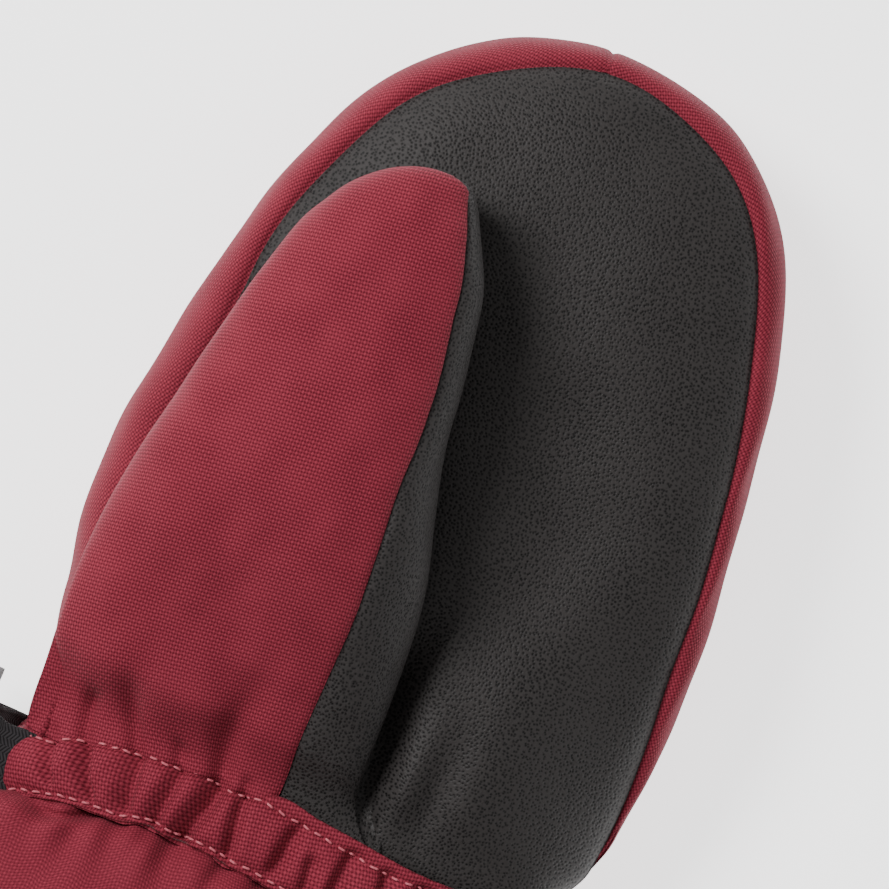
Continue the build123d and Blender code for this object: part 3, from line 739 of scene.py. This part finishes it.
def thumb_surface(s, fraction, cloth):
    """One of the thumb's two pieces, the cloth or the leather: s runs along it and fraction across it."""
    along = np.linspace(0, 1, 700)
    (lx, lh), (rx, rh) = (
        [np.interp(s, along, column)[:, None] for column in smooth_curve(curve, 700).T]
        for curve in (THUMB_LEFT, THUMB_RIGHT)
    )
    h_mid = (lh + rh) / 2
    rest = np.clip((1 - s[:, None]) / 0.075, 0, 1)
    close = np.sqrt(rest * (2 - rest))  # 1 along the thumb, falling to 0 at its tip
    top, wide, low = (table(h_mid, curve) for curve in (THUMB_TOP, THUMB_WIDE, THUMB_LOW))
    power = 0.86
    flat = 2 * np.clip((table(h_mid, THUMB_SEAM) - lx) / np.maximum(rx - lx, 0.5), 0.05, 0.97) - 1
    seam = np.arccos(curved(flat, 1 / power))
    sweep = UNDER_SEAM - seam if cloth else UNDER_SEAM - seam - 2 * math.pi
    angle = seam + sweep * fraction[None, :]
    c, q = np.cos(angle), np.sin(angle)
    across = 0.5 + 0.5 * curved(c, power)
    half = np.where(q > 0, top - wide, wide - low) * close
    z = wide + half * curved(q, 0.80 if cloth else 0.86)
    grid = np.stack([lx + (rx - lx) * across, lh + (rh - lh) * across, z], 2)
    drawn = to_wrist(grid, 0.5 if cloth else 0.9)
    grid = np.where((q > 0.02)[:, :, None], drawn, grid)
    x, h = grid[:, :, 0], grid[:, :, 1]
    dip = seam_dip(lengths_of(grid, 1), 0.75 if cloth else 1.0, 0.9)
    soft = 0.55 * wobble(x, h, 34, 31) + 0.25 * wobble(x, h, 13, 33)
    soft -= 1.0 * bell((x + 26 + 0.55 * (h - 34)) / 6.0, 1) * bell((h - 34) / 13, 1)
    soft += 0.7 * bell((x + 40) / 5.0, 1) * bell((h - 12) / 7, 1)
    shift = step(-0.1, 0.4, q) * (soft * step(-2, 10, h) * close - crease_depth(x, h) * 1.05) - dip * close
    return grid + normals_of(grid) * (shift * (1 if cloth else -1))[:, :, None]


def make_thumb():
    s = 1 - (1 - np.linspace(0, 1, 210)) ** 1.25
    fraction = np.linspace(0, 1, 130) ** 1.15
    pieces = []
    for name, material in (("thumb_fabric_panel", shell_cloth), ("thumb_leather_panel", leather)):
        cloth = material is shell_cloth
        grid = thumb_surface(s, fraction, cloth)
        x = grid[:, :1, 0] + lengths_of(grid, 1) * (-1 if cloth else 1)
        uv = turned(x, grid[:, :, 1], -9.5)
        pieces.append(shell(name, grid, material, 0.9, uv=uv, flip=not cloth, weld=0.002))
    return pieces


# --- cuff ---
CUFF_HALF = [(-98, hem_high[0]), (-70, 59.4), (-42, 56.6), (-24, 53.4), (-16.5, 51.6), (-12.8, 49.6)]
CUFF_LOW = [(-98, 0.4), (-60, 0.5), (-44, 1.6), (-34, 3.6), (-24, 6), (-12.8, 7.2)]
CUFF_HIGH = [(-98, 49.4), (-60, 47.4), (-42, 45), (-24, 41.8), (-16.5, 40.2), (-12.8, 38.2)]


ROLL = 0.09  # share of the cuff's surface that rolls out from under the lower stitch row
CUFF_TOP_H = -15.2
ROLLED_EDGE = [(-46, -15.2), (-41.4, -15.6), (-35.5, -16.8), (-31, -14.6), (-27.4, -11.6), (-26, -10)]


def cuff_section(angle, h):
    """Directions and squareness of the cuff's section at a height, and its middle and half sizes."""
    half, low, high = (table(h, curve) for curve in (CUFF_HALF, CUFF_LOW, CUFF_HIGH))
    power = RING_POWER - 0.14 * step(-20, -60, h)
    return np.cos(angle), np.sin(angle), power, (low + high) / 2, half, (high - low) / 2


def cuff_point(angle, h, inset=0.0):
    """Smooth section of the cuff without its folds, drawn in by some millimetres."""
    c, q, power, mid, half, tall = cuff_section(angle, h)
    x, z = (half - inset) * curved(c, power), mid + (tall - inset) * curved(q, power)
    return np.stack(np.broadcast_arrays(x, h, z), -1)


def cuff_gathers(angle, h, x, palm_side):
    """How deep the wrist's gathering still runs in the cuff."""
    total, below = np.zeros_like(h), np.abs(h + 12)
    for points, depth, width in CREASES:
        end_x = points[-1][1]
        centre = end_x + 0.18 * (h + 12) * np.sin(end_x * 1.7)
        total += depth * 1.7 * bell(x - centre, width * (1.3 + 0.09 * below))
    total *= palm_side
    for at, depth, width, lean in BACK_CREASES:
        off = (angle - at + lean * (h + 12) / 12 + math.pi) % (2 * math.pi) - math.pi
        total += depth * 1.1 * bell(off, width * (1.2 + 0.06 * below))
    return total


def cuff_surface(angle, t):
    """Outer cuff, t from 0 tucked under the lower stitch row to 1 at the hem."""
    x0 = ring_point(angle, 0.0)[..., 0]
    low_row = rows_at(x0, angle)[1]
    # it rolls out from under the row, then runs down to the hem
    roll = np.clip(t / ROLL, 0, 1) * math.pi / 2
    start = low_row - 0.4
    h = start - 2.6 * (1 - np.cos(roll)) + (HEM_H - (start - 2.6)) * np.clip((t - ROLL) / (1 - ROLL), 0, 1)
    c, q, power, mid, half, tall = cuff_section(angle, h)
    grid = cuff_point(angle, h)
    slope = (curved(c, 2 - power) / half, 0 * h, curved(q, 2 - power) / tall)
    normal = unit(np.stack(np.broadcast_arrays(*slope), -1))
    palm_side, below = step(0.0, 0.3, q), h - low_row
    gather = cuff_gathers(angle, h, grid[..., 0], palm_side) * bell(below / 16, 1)
    billow = 3.0 * step(0, -5, below) * np.exp(below / 24)
    pillows = 1.1 * wobble(x0, h * 0.5, 17, 43) * step(-0.5, -4, below) * np.exp(below / 20)
    folds = 0.9 * wobble(angle * 30, h * 0.35, 26, 41) * step(-14, -30, h) * (1 - step(-60, -96, h))
    rolled = 3.0 * bell((h - table(x0, ROLLED_EDGE)) / 1.3, 1) * bell((x0 + 35.5) / 7.5, 1) * palm_side
    tuck = 3.6 * (1 - np.sin(roll))
    shift = (billow + pillows) * (0.2 + 0.8 * step(-0.6, -0.1, q)) - rolled - tuck - gather + folds
    shift = shift - 0.45 * bell(h - HEM_TOP_H, 0.8)
    shift = np.where(grid[..., 2] + normal[..., 2] * shift < 0.15, np.minimum(shift, 0.3), shift)
    out = grid + normal * shift[..., None]
    out[..., 2] = np.maximum(out[..., 2], 0.05)
    return out


def make_cuff():
    down = ROLL + (1 - ROLL) * np.linspace(0, 1, 110) ** 1.25
    t = np.concatenate([np.linspace(0, ROLL, 12, endpoint=False), down])
    grid = cuff_surface(even_angles(560)[None, :], t[:, None])
    uv = round_uv(-lengths_of(grid, 0), -12)
    return shell("cuff_panel", grid, cuff_cloth, 0.9, uv=uv, close_v=True, flip=True)


casing = make_casing()
upper_stitches = wrist_stitches("upper_stitches", 0)
lower_stitches = wrist_stitches("lower_stitches", 1)
thumb_pieces = make_thumb()
cuff = make_cuff()


# --- layers inside ---
def relax(grid, rounds, close_v=False):
    """Evens out a grid of points, leaving its edges."""
    for _ in range(rounds):
        smooth = grid.copy()
        smooth[1:-1] += (grid[:-2] + grid[2:] - 2 * grid[1:-1]) * 0.25
        if close_v:
            smooth += (np.roll(grid, 1, 1) + np.roll(grid, -1, 1) - 2 * grid) * 0.25
        else:
            smooth[:, 1:-1] += (grid[:, :-2] + grid[:, 2:] - 2 * grid[:, 1:-1]) * 0.25
        grid = smooth
    return grid


def hand_wrap(which):
    """Coarse surface of the hand: the palm's half, the back's half or the whole way round."""
    palm = palm_surface(np.linspace(0, 0.97, 16))
    side = side_surface(np.linspace(0.06, 0.97, 12))
    back = back_surface(np.linspace(0.97, 0, 16))
    parts = {"whole": (palm, side, back), "palm": (palm, side[:, :5]), "back": (side[:, 5:], back)}
    return np.concatenate(parts[which], 1)[::6]


def inner_layer(name, which, inset, thick, material, node, part_slot, trim=2, fill=None):
    """A layer of the hand that follows its surface at some depth."""
    grid = relax(hand_wrap(which), 4)
    grid = grid - normals_of(grid) * inset
    x, h, z = grid[:, :, 0], grid[:, :, 1], grid[:, :, 2]
    grid[:, :, 2] -= (1.5 + 9 * bell(x - 4, 16)) * (1 - step(25, 60, h)) * step(18, 30, z)
    grid[:, :, 2] = np.clip(grid[:, :, 2], 1.0 + inset, PALM_Z - 1.5 - inset)
    grid = to_wrist(grid, 1.6 + inset)[trim:len(grid) - trim]
    declare(shell(name, grid, material, thick, weld=0.02), "hand", [node], part_slot, fill)


def thumb_layer(name, inset, thick, material, node, part_slot, fill=None):
    """A layer of the thumb, drawn in from its surface."""
    s, fraction = np.linspace(0.50, 0.975, 36), np.linspace(0, 1, 18)
    outer, inner = thumb_surface(s, fraction, True), thumb_surface(s, fraction, False)
    grid = relax(np.concatenate([outer, inner[:, -2:0:-1]], 1), 5, close_v=True)
    middle = grid.mean(1, keepdims=True)
    size = np.linalg.norm(grid - middle, axis=2, keepdims=True)
    grid = middle + (grid - middle) * np.clip((size - inset) / np.maximum(size, 1e-6), 0.15, 1)
    declare(shell(name, grid, material, thick, close_v=True), "thumb", [node], part_slot, fill)


inner_layer("insert_film", "whole", 1.4, 0.2, film, "membrane_insert", "membrane")
inner_layer("palm_wadding", "palm", 2.2, 2.4, wadding, "palm_padding", "padding", fill=0.7)
inner_layer("back_wadding", "back", 2.2, 2.4, wadding, "back_padding", "padding", fill=0.7)
inner_layer("hand_lining_bag", "whole", 5.4, 0.8, fleece, "hand_lining", "lining", trim=0)
thumb_layer("thumb_insert_film", 1.6, 0.2, film, "thumb_insert", "membrane")
thumb_layer("thumb_wadding", 2.2, 1.6, wadding, "thumb_padding", "padding", fill=0.7)
thumb_layer("thumb_lining_bag", 4.6, 0.7, fleece, "thumb_lining", "lining")


# --- linings, hem, loop and label ---
def make_lining_sleeve():
    angles = even_angles(200)[None, :]
    h = np.linspace(HEM_H + 1.0, 3.0, 90)[:, None]
    grid = cuff_point(angles, np.minimum(h, -12.8), 3.0 + 3.2 * step(-34, -8, h))
    mix = step(-20, -11, h)[:, :, None]
    grid = grid * (1 - mix) + ring_point(angles, h, -5.6) * mix
    grid[..., 1] = h
    soft = 0.7 * wobble(angles * 28, h * 0.6, 24, 51) + 0.3 * wobble(angles * 28, h, 8, 52)
    grid = grid + normals_of(grid) * (soft * step(HEM_H, HEM_H + 6, h))[:, :, None]
    grid[:, :, 2] = np.maximum(grid[:, :, 2], 1.6)
    return shell("cuff_lining_sleeve", grid, fleece, 0.7, close_v=True)


def cuff_ring(angles, h):
    """The cuff's outer surface round one height."""
    t = ROLL + (1 - ROLL) * np.clip((h - CUFF_TOP_H) / (HEM_H - CUFF_TOP_H), 0, 1)
    return cuff_surface(angles[None, :], np.array([[t]]))[0]


def outwards(ring):
    """Directions away from the cuff's middle line."""
    return unit((ring - [0, 0, HEM_MID_Z]) * [1, 0, 1])


def make_hem():
    """Turned hem: outside face, over the end and back up inside."""
    angles = even_angles(360)
    top, end = HEM_TOP_H, HEM_H
    profile = [(top, -0.2), (top - 0.3, 0.45), (top - 2.5, 0.75), (top - 5.5, 0.85), (end + 2, 0.75),
               (end + 0.6, 0.3), (end + 0.1, -0.8), (end + 0.5, -2.2), (end + 2, -2.9),
               (end + 6, -3.2), (top, -3.1)]
    rings = []
    for h, out in smooth_curve(profile, 46):
        ring = cuff_ring(angles, h) + outwards(cuff_point(angles, h)) * out
        ring[:, 1] = h
        rings.append(ring)
    grid = np.array(rings)
    grid[:, :, 2] = np.maximum(grid[:, :, 2], 0.05)
    ripple = 0.16 * wobble(angles * 30, grid[:, :, 1] * 0.3, 6, 61)
    grid = grid + normals_of(grid) * ripple[:, :, None]
    return shell("hem_band_turned", grid, cuff_cloth, 0.5, turn=12, close_v=True, flip=True)


def hem_stitches():
    """Stitch row round the hem."""
    ring = cuff_ring(even_angles(900), HEM_TOP_H - 1.6)
    away = outwards(ring)
    line = ring + away * 0.62
    line[:, 1] = HEM_TOP_H - 1.6
    line[:, 2] = np.maximum(line[:, 2], 0.35)
    return stitches_on("hem_stitches", line, away)


def elastic_band(name, h_low, h_high, inset, thick):
    """Flat elastic round the cuff, or round the wrist if it lies above the cuff."""
    angles, h = even_angles(160)[None, :], np.linspace(h_low, h_high, 8)[:, None]
    grid = cuff_point(angles, h, inset) if h_high < -13 else ring_point(angles, h, -inset)
    grid[..., 2] = np.maximum(grid[..., 2], 0.8)
    return shell(name, grid, elastic, thick, close_v=True)


def ribbon(line, across, width, rise):
    """Closed rings of points along a flat band, rise thick each way, and the texture's places across it."""
    w = np.linspace(-0.5, 0.5, len(rise)) * width
    out = np.cross(unit(np.gradient(line, axis=0)), across)
    middle = line[:, None] + across[:, None] * w[None, :, None]
    lift = out[:, None] * rise[None, :, None]
    v = np.concatenate([w, w[::-1] + width * 1.3])
    return np.concatenate([middle + lift, (middle - lift)[:, ::-1]], 1), v


def strap_mesh(name, path, width=None, thick=1.1):
    """Ribbed webbing along a path of (x, z) or (x, z, shift along h) points, its width along h."""
    width = width or STRAP_WIDTH - 0.6
    ribs, columns = 6, 48
    points = [(x, STRAP_H + sum(shift), z) for x, z, *shift in path]
    line = smooth_curve(points, max(40, 12 * len(path)))
    tangent = unit(np.gradient(line, axis=0))
    across = unit(np.array([[0.0, 1.0, 0.0]]) - tangent * tangent[:, 1:2])
    w = np.linspace(-0.5, 0.5, columns + 1)
    relief = 0.24 * np.abs(np.cos(w * ribs * math.pi)) ** 0.6 * thick
    relief -= 0.5 * thick * bell((np.abs(w) - 0.5) * width, 0.35)
    loop, v = ribbon(line, across, width, thick * 0.38 + relief * 0.5)
    uv = np.stack(np.broadcast_arrays(running(line)[:, None], v), 2)
    nu, nv = loop.shape[:2]
    faces = grid_faces(nu, nv, close_v=True).tolist()
    for end, reverse in ((0, False), (nu - 1, True)):
        for j in range(nv // 2 - 1):
            quad = [end * nv + k for k in (j, j + 1, nv - 2 - j, nv - 1 - j)]
            faces.append(quad if reverse else quad[::-1])
    return mesh_object(name, loop, faces, uv, webbing)


def place_of(name):
    """A CAD node's corners in (x, h, z) millimetres."""
    low, high = node_box(name)
    return low - [0, ROW_Y, 0], high - [0, ROW_Y, 0]


# webbing strap: the run round the back of the wrist, its loop through the buckle, and the loose tail
run_low, run_high = place_of("wrist_strap")
loop_low, loop_high = place_of("strap_loop")
anchor_low, anchor_high = place_of("buckle_anchor")
tail_low, tail_high = place_of("strap_tail")
STRAP_H = (run_low[1] + run_high[1]) / 2 - 1.5
STRAP_WIDTH = run_high[1] - run_low[1] - 3.0
HALF = 0.6  # half the webbing's thickness

strap_run = strap_mesh("wrist_strap_webbing", [
    (run_high[0] - HALF, run_high[2] - 0.2), (run_high[0] - HALF, 20.0), (run_high[0] - 1.6, 12.0),
    (run_high[0] - 6.5, 6.8), (run_high[0] - 14, run_low[2] + HALF + 0.2), (20, run_low[2] + HALF),
    (-20, run_low[2] + HALF), (-38, run_low[2] + HALF + 0.1), (-46.5, 6.6), (-51.0, 10.0),
    (run_low[0] + 2.6, 16.0), (run_low[0] + 0.8, 20.0),
], STRAP_WIDTH, 1.2)
strap_loop = strap_mesh("strap_loop_webbing", [
    (-56.2, 21.6), (-56.8, 22.8), (-58.0, loop_high[2] - HALF), (-59.6, 22.4), (loop_low[0] + HALF, 20.4),
    (-60.0, 17.0), (-59.0, 12.0), (-57.2, 7.6), (-54.6, 4.2), (-52.0, loop_low[2] + HALF + 0.3),
    (tail_low[0], loop_low[2] + HALF),
])
strap_tail = strap_mesh("strap_tail_webbing", [
    (tail_low[0] - 0.4, loop_low[2] + HALF), (tail_low[0] + 8, tail_low[2] + HALF - 0.2),
    (tail_high[0] - 8, tail_low[2] + HALF), (tail_high[0] + 3.0, tail_low[2] + HALF),
])
anchor = strap_mesh("buckle_anchor_webbing", [
    (-44.6, anchor_low[2] + 1.3, -1), (-47.5, anchor_low[2] + 1.2, -1.4), (-51.2, anchor_low[2] + 1, -1.6),
    (-55, anchor_low[2] + HALF, -0.6), (-58.2, anchor_low[2] + HALF), (anchor_low[0] + HALF + 0.2, 28.6),
    (anchor_low[0] + HALF, 30.2), (-59.4, anchor_high[2] - HALF), (-56.4, anchor_high[2] - HALF - 0.1, -0.5),
    (-52.4, 31.0, -1.5), (-49.0, 30.2, -1.5), (-44.6, 29.8, -1.2),
], 12.4, 1.2)


def make_tab():
    """Moulded end of the strap: a rounded plate with raised grip bars."""
    low, high = place_of("strap_pull_tab")
    nx, ny = 40, 28
    u, v = np.meshgrid(np.linspace(-1, 1, nx), np.linspace(-1, 1, ny), indexing="ij")
    # a square drawn in to a rounded rectangle
    corner = 6.0
    rim = np.maximum(np.abs(u), np.abs(v))
    shrink = rim / (np.abs(u) ** corner + np.abs(v) ** corner) ** (1 / corner)
    mid, half = (low + high) / 2, (high - low) / 2
    grip = 0.22 * np.clip(np.cos(u * math.pi * 3.5), 0, 1) * step(0.95, 0.7, rim)
    dome = half[2] * (0.55 + 0.45 * np.sqrt(np.clip(1 - rim**8, 0, 1)))
    lift = np.minimum(dome - 0.22 + grip, half[2])
    x, h = mid[0] + u * shrink * half[0], mid[1] + v * shrink * half[1]
    top, under = (np.stack([x, h, mid[2] + side * lift], 2).reshape(-1, 3) for side in (1, -1))
    faces = grid_faces(nx, ny).tolist() + (grid_faces(nx, ny, flip=True) + nx * ny).tolist()
    index = np.arange(nx * ny).reshape(nx, ny)
    ring = np.concatenate([index[:-1, 0], index[-1, :-1], index[:0:-1, -1], index[0, :0:-1]])
    for a, b in zip(ring.tolist(), np.roll(ring, -1).tolist()):
        faces.append([b, a, a + nx * ny, b + nx * ny])
    return mesh_object("strap_end_tab", [top, under], faces, [top[:, :2], top[:, :2]], plastic, weld=0.01)


def make_hang_loop():
    """Hanging loop of webbing, sewn in at the hem on the thumb's side."""
    low, high = place_of("hang_loop")
    middle_x, z = (low[0] + high[0]) / 2, (low[2] + high[2]) / 2
    left, right, bottom, top = low[0] + 0.6, high[0] - 0.6, low[1], high[1]
    radius = (right - left) / 2
    line = [(left + 0.6, top, z), (left + 0.2, top - 8, z), (left, HEM_H - 6, z)]
    for k in range(7):
        a = math.pi + math.pi * k / 6
        line.append((middle_x + radius * math.cos(a), bottom + 0.6 + radius + radius * math.sin(a), z))
    line += [(right, HEM_H - 6, z), (right - 0.2, top - 8, z), (right - 0.6, top, z)]
    line, width, w = smooth_curve(line, 110), high[2] - low[2], np.linspace(-0.5, 0.5, 25)
    rise = 0.5 - 0.25 * bell((np.abs(w) - 0.5) * width, 0.4) - 0.08 * np.abs(np.sin(w * 4 * math.pi))
    loop, v = ribbon(line, np.broadcast_to([0.0, 0.0, 1.0], line.shape), width, rise)
    uv = np.stack(np.broadcast_arrays(lengths_of(loop, 0)[:, :1], v), 2)
    faces = grid_faces(*loop.shape[:2], close_v=True, flip=True)
    return mesh_object("hang_loop_webbing", loop, faces, uv, webbing)


def make_label():
    low, high = place_of("care_label")
    u, v = np.meshgrid(np.linspace(0, 1, 30), np.linspace(0, 1, 40), indexing="ij")
    x, h = low[0] + (high[0] - low[0]) * u, low[1] + (high[1] - low[1]) * v
    z = high[2] + 0.15 + 0.35 * np.sin(u * 5.1) * (1 - v) + 1.3 * (1 - v) ** 2
    return shell("care_label_blank", np.stack([x, h, z], 2), label_cloth, 0.3)


tab = make_tab()
lining_sleeve = make_lining_sleeve()
hem = make_hem()
hem_elastic = elastic_band("hem_elastic_band", HEM_H + 2.5, HEM_H + 8.5, 1.6, 0.6)
wrist_elastic = elastic_band("wrist_elastic_band", -10.5, -2.5, 4.6, 0.7)
hang_loop = make_hang_loop()
label = make_label()
hem_row = hem_stitches()

# --- what each piece stands for, and what it moves with ---
DECLARED = [
    (casing, "hand", ["wrist_casing_palm", "wrist_casing_back"], "shell_fabric"),
    (upper_stitches, "hand", [], "shell_fabric"),
    (lower_stitches, "hand", [], "shell_fabric"),
    (wrist_elastic, "hand", ["wrist_elastic"], "elastic"),
    (strap_run, "hand", ["wrist_strap"], "webbing"),
    (anchor, "hand", ["buckle_anchor"], "webbing"),
    (hem, "cuff", ["hem_band"], "shell_fabric"),
    (hem_row, "cuff", [], "shell_fabric"),
    (hem_elastic, "cuff", ["hem_elastic"], "elastic"),
    (hang_loop, "cuff", ["hang_loop"], "webbing"),
    (label, "cuff", ["care_label"], "label"),
    (strap_tail, "strap_end", ["strap_tail"], "webbing"),
    (tab, "strap_end", ["strap_pull_tab"], "webbing"),
]
for row in DECLARED:
    declare(*row)


def bend(piece, body, start, end, nodes, part_slot, fill=None):
    """A soft piece whose placement is baked into its mesh, with the CAD nodes it stands for hidden. The
    moving body and the two (x, h, z) places it would turn between are not used.
    """
    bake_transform(piece)
    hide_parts(*nodes)


THUMB_BEND = ((-24, 44, 58), (-24, 76, 58))
THUMB_CLOTH = ["thumb_fabric", "thumb_root_fabric"]
THUMB_LEATHER = ["thumb_leather", "thumb_root_leather", "thumb_fold"]
CUFF_CLOTH = ["cuff_palm_panel", "cuff_back_panel", "wrist_fold_palm", "wrist_fold_back"]
bend(thumb_pieces[0], "thumb", *THUMB_BEND, THUMB_CLOTH, "shell_fabric", 0.6)
bend(thumb_pieces[1], "thumb", *THUMB_BEND, THUMB_LEATHER, "palm_leather", 0.6)
bend(cuff, "cuff", (0, -12, 22), (0, -26, 22), CUFF_CLOTH, "shell_fabric", 0.6)
bend(lining_sleeve, "cuff", (0, -10, 22), (0, -28, 22), ["cuff_lining"], "lining")
bend(strap_loop, "buckle", (-58, STRAP_H, 9), (-58, STRAP_H, 16.5), ["strap_loop"], "webbing")

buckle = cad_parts["ladder_buckle"]
buckle.data.materials.clear()
buckle.data.materials.append(plastic)
edge = buckle.modifiers.new("edge", "BEVEL")
edge.width, edge.segments, edge.limit_method, edge.angle_limit = 0.35 * MM, 3, "ANGLE", math.radians(40)


# --- floor, lights and camera ---
def make_floor():
    bpy.ops.mesh.primitive_plane_add(size=3.0, location=(0, 0, -0.0004))
    floor = bpy.context.object
    floor.name = "floor"
    n = Nodes("floor_white")
    n.surface((0.9, 0.9, 0.9, 1.0), 0.9, specular=0.1)
    n.bsdf.inputs["Emission Color"].default_value = (1, 1, 1, 1)
    n.bsdf.inputs["Emission Strength"].default_value = 1.9
    floor.data.materials.append(n.material)


def add_light(name, where, size, power, target=(0, 0, 0.03)):
    light = bpy.data.lights.new(name, "AREA")
    light.shape, light.size, light.energy = "DISK", size, power
    obj = bpy.data.objects.new(name, light)
    obj.location = where
    obj.rotation_euler = (Vector(target) - Vector(where)).to_track_quat("-Z", "Y").to_euler()
    bpy.context.scene.collection.objects.link(obj)


IMAGE_RIGHT, IMAGE_UP = Vector((0.9063, 0.4226, 0)), Vector((-0.4226, 0.9063, 0))


def image_place(right, up, height):
    """Somewhere over the mitten, given along the picture's own right and up directions, in metres."""
    return IMAGE_RIGHT * right + IMAGE_UP * up + Vector((0, 0, height))


make_floor()
add_light("key", image_place(-0.50, 0.45, 0.80), 0.45, 12.5)
add_light("fill", image_place(0.75, 0.1, 0.75), 0.6, 1.6)
add_light("front", image_place(-0.35, -0.75, 0.7), 0.5, 1.6)

world = bpy.data.worlds.new("studio")
world.use_nodes = True
background = world.node_tree.nodes["Background"]
background.inputs["Color"].default_value = (1, 1, 1, 1)
background.inputs["Strength"].default_value = 0.28
bpy.context.scene.world = world

camera = bpy.data.objects.new("camera", bpy.data.cameras.new("camera"))
camera.data.lens, camera.data.sensor_width = 278, 36
camera.location = (-0.0023, -0.0001, 1.22)
camera.rotation_euler = (0, 0, math.atan2(IMAGE_RIGHT.y, IMAGE_RIGHT.x))
bpy.context.scene.collection.objects.link(camera)
bpy.context.scene.camera = camera
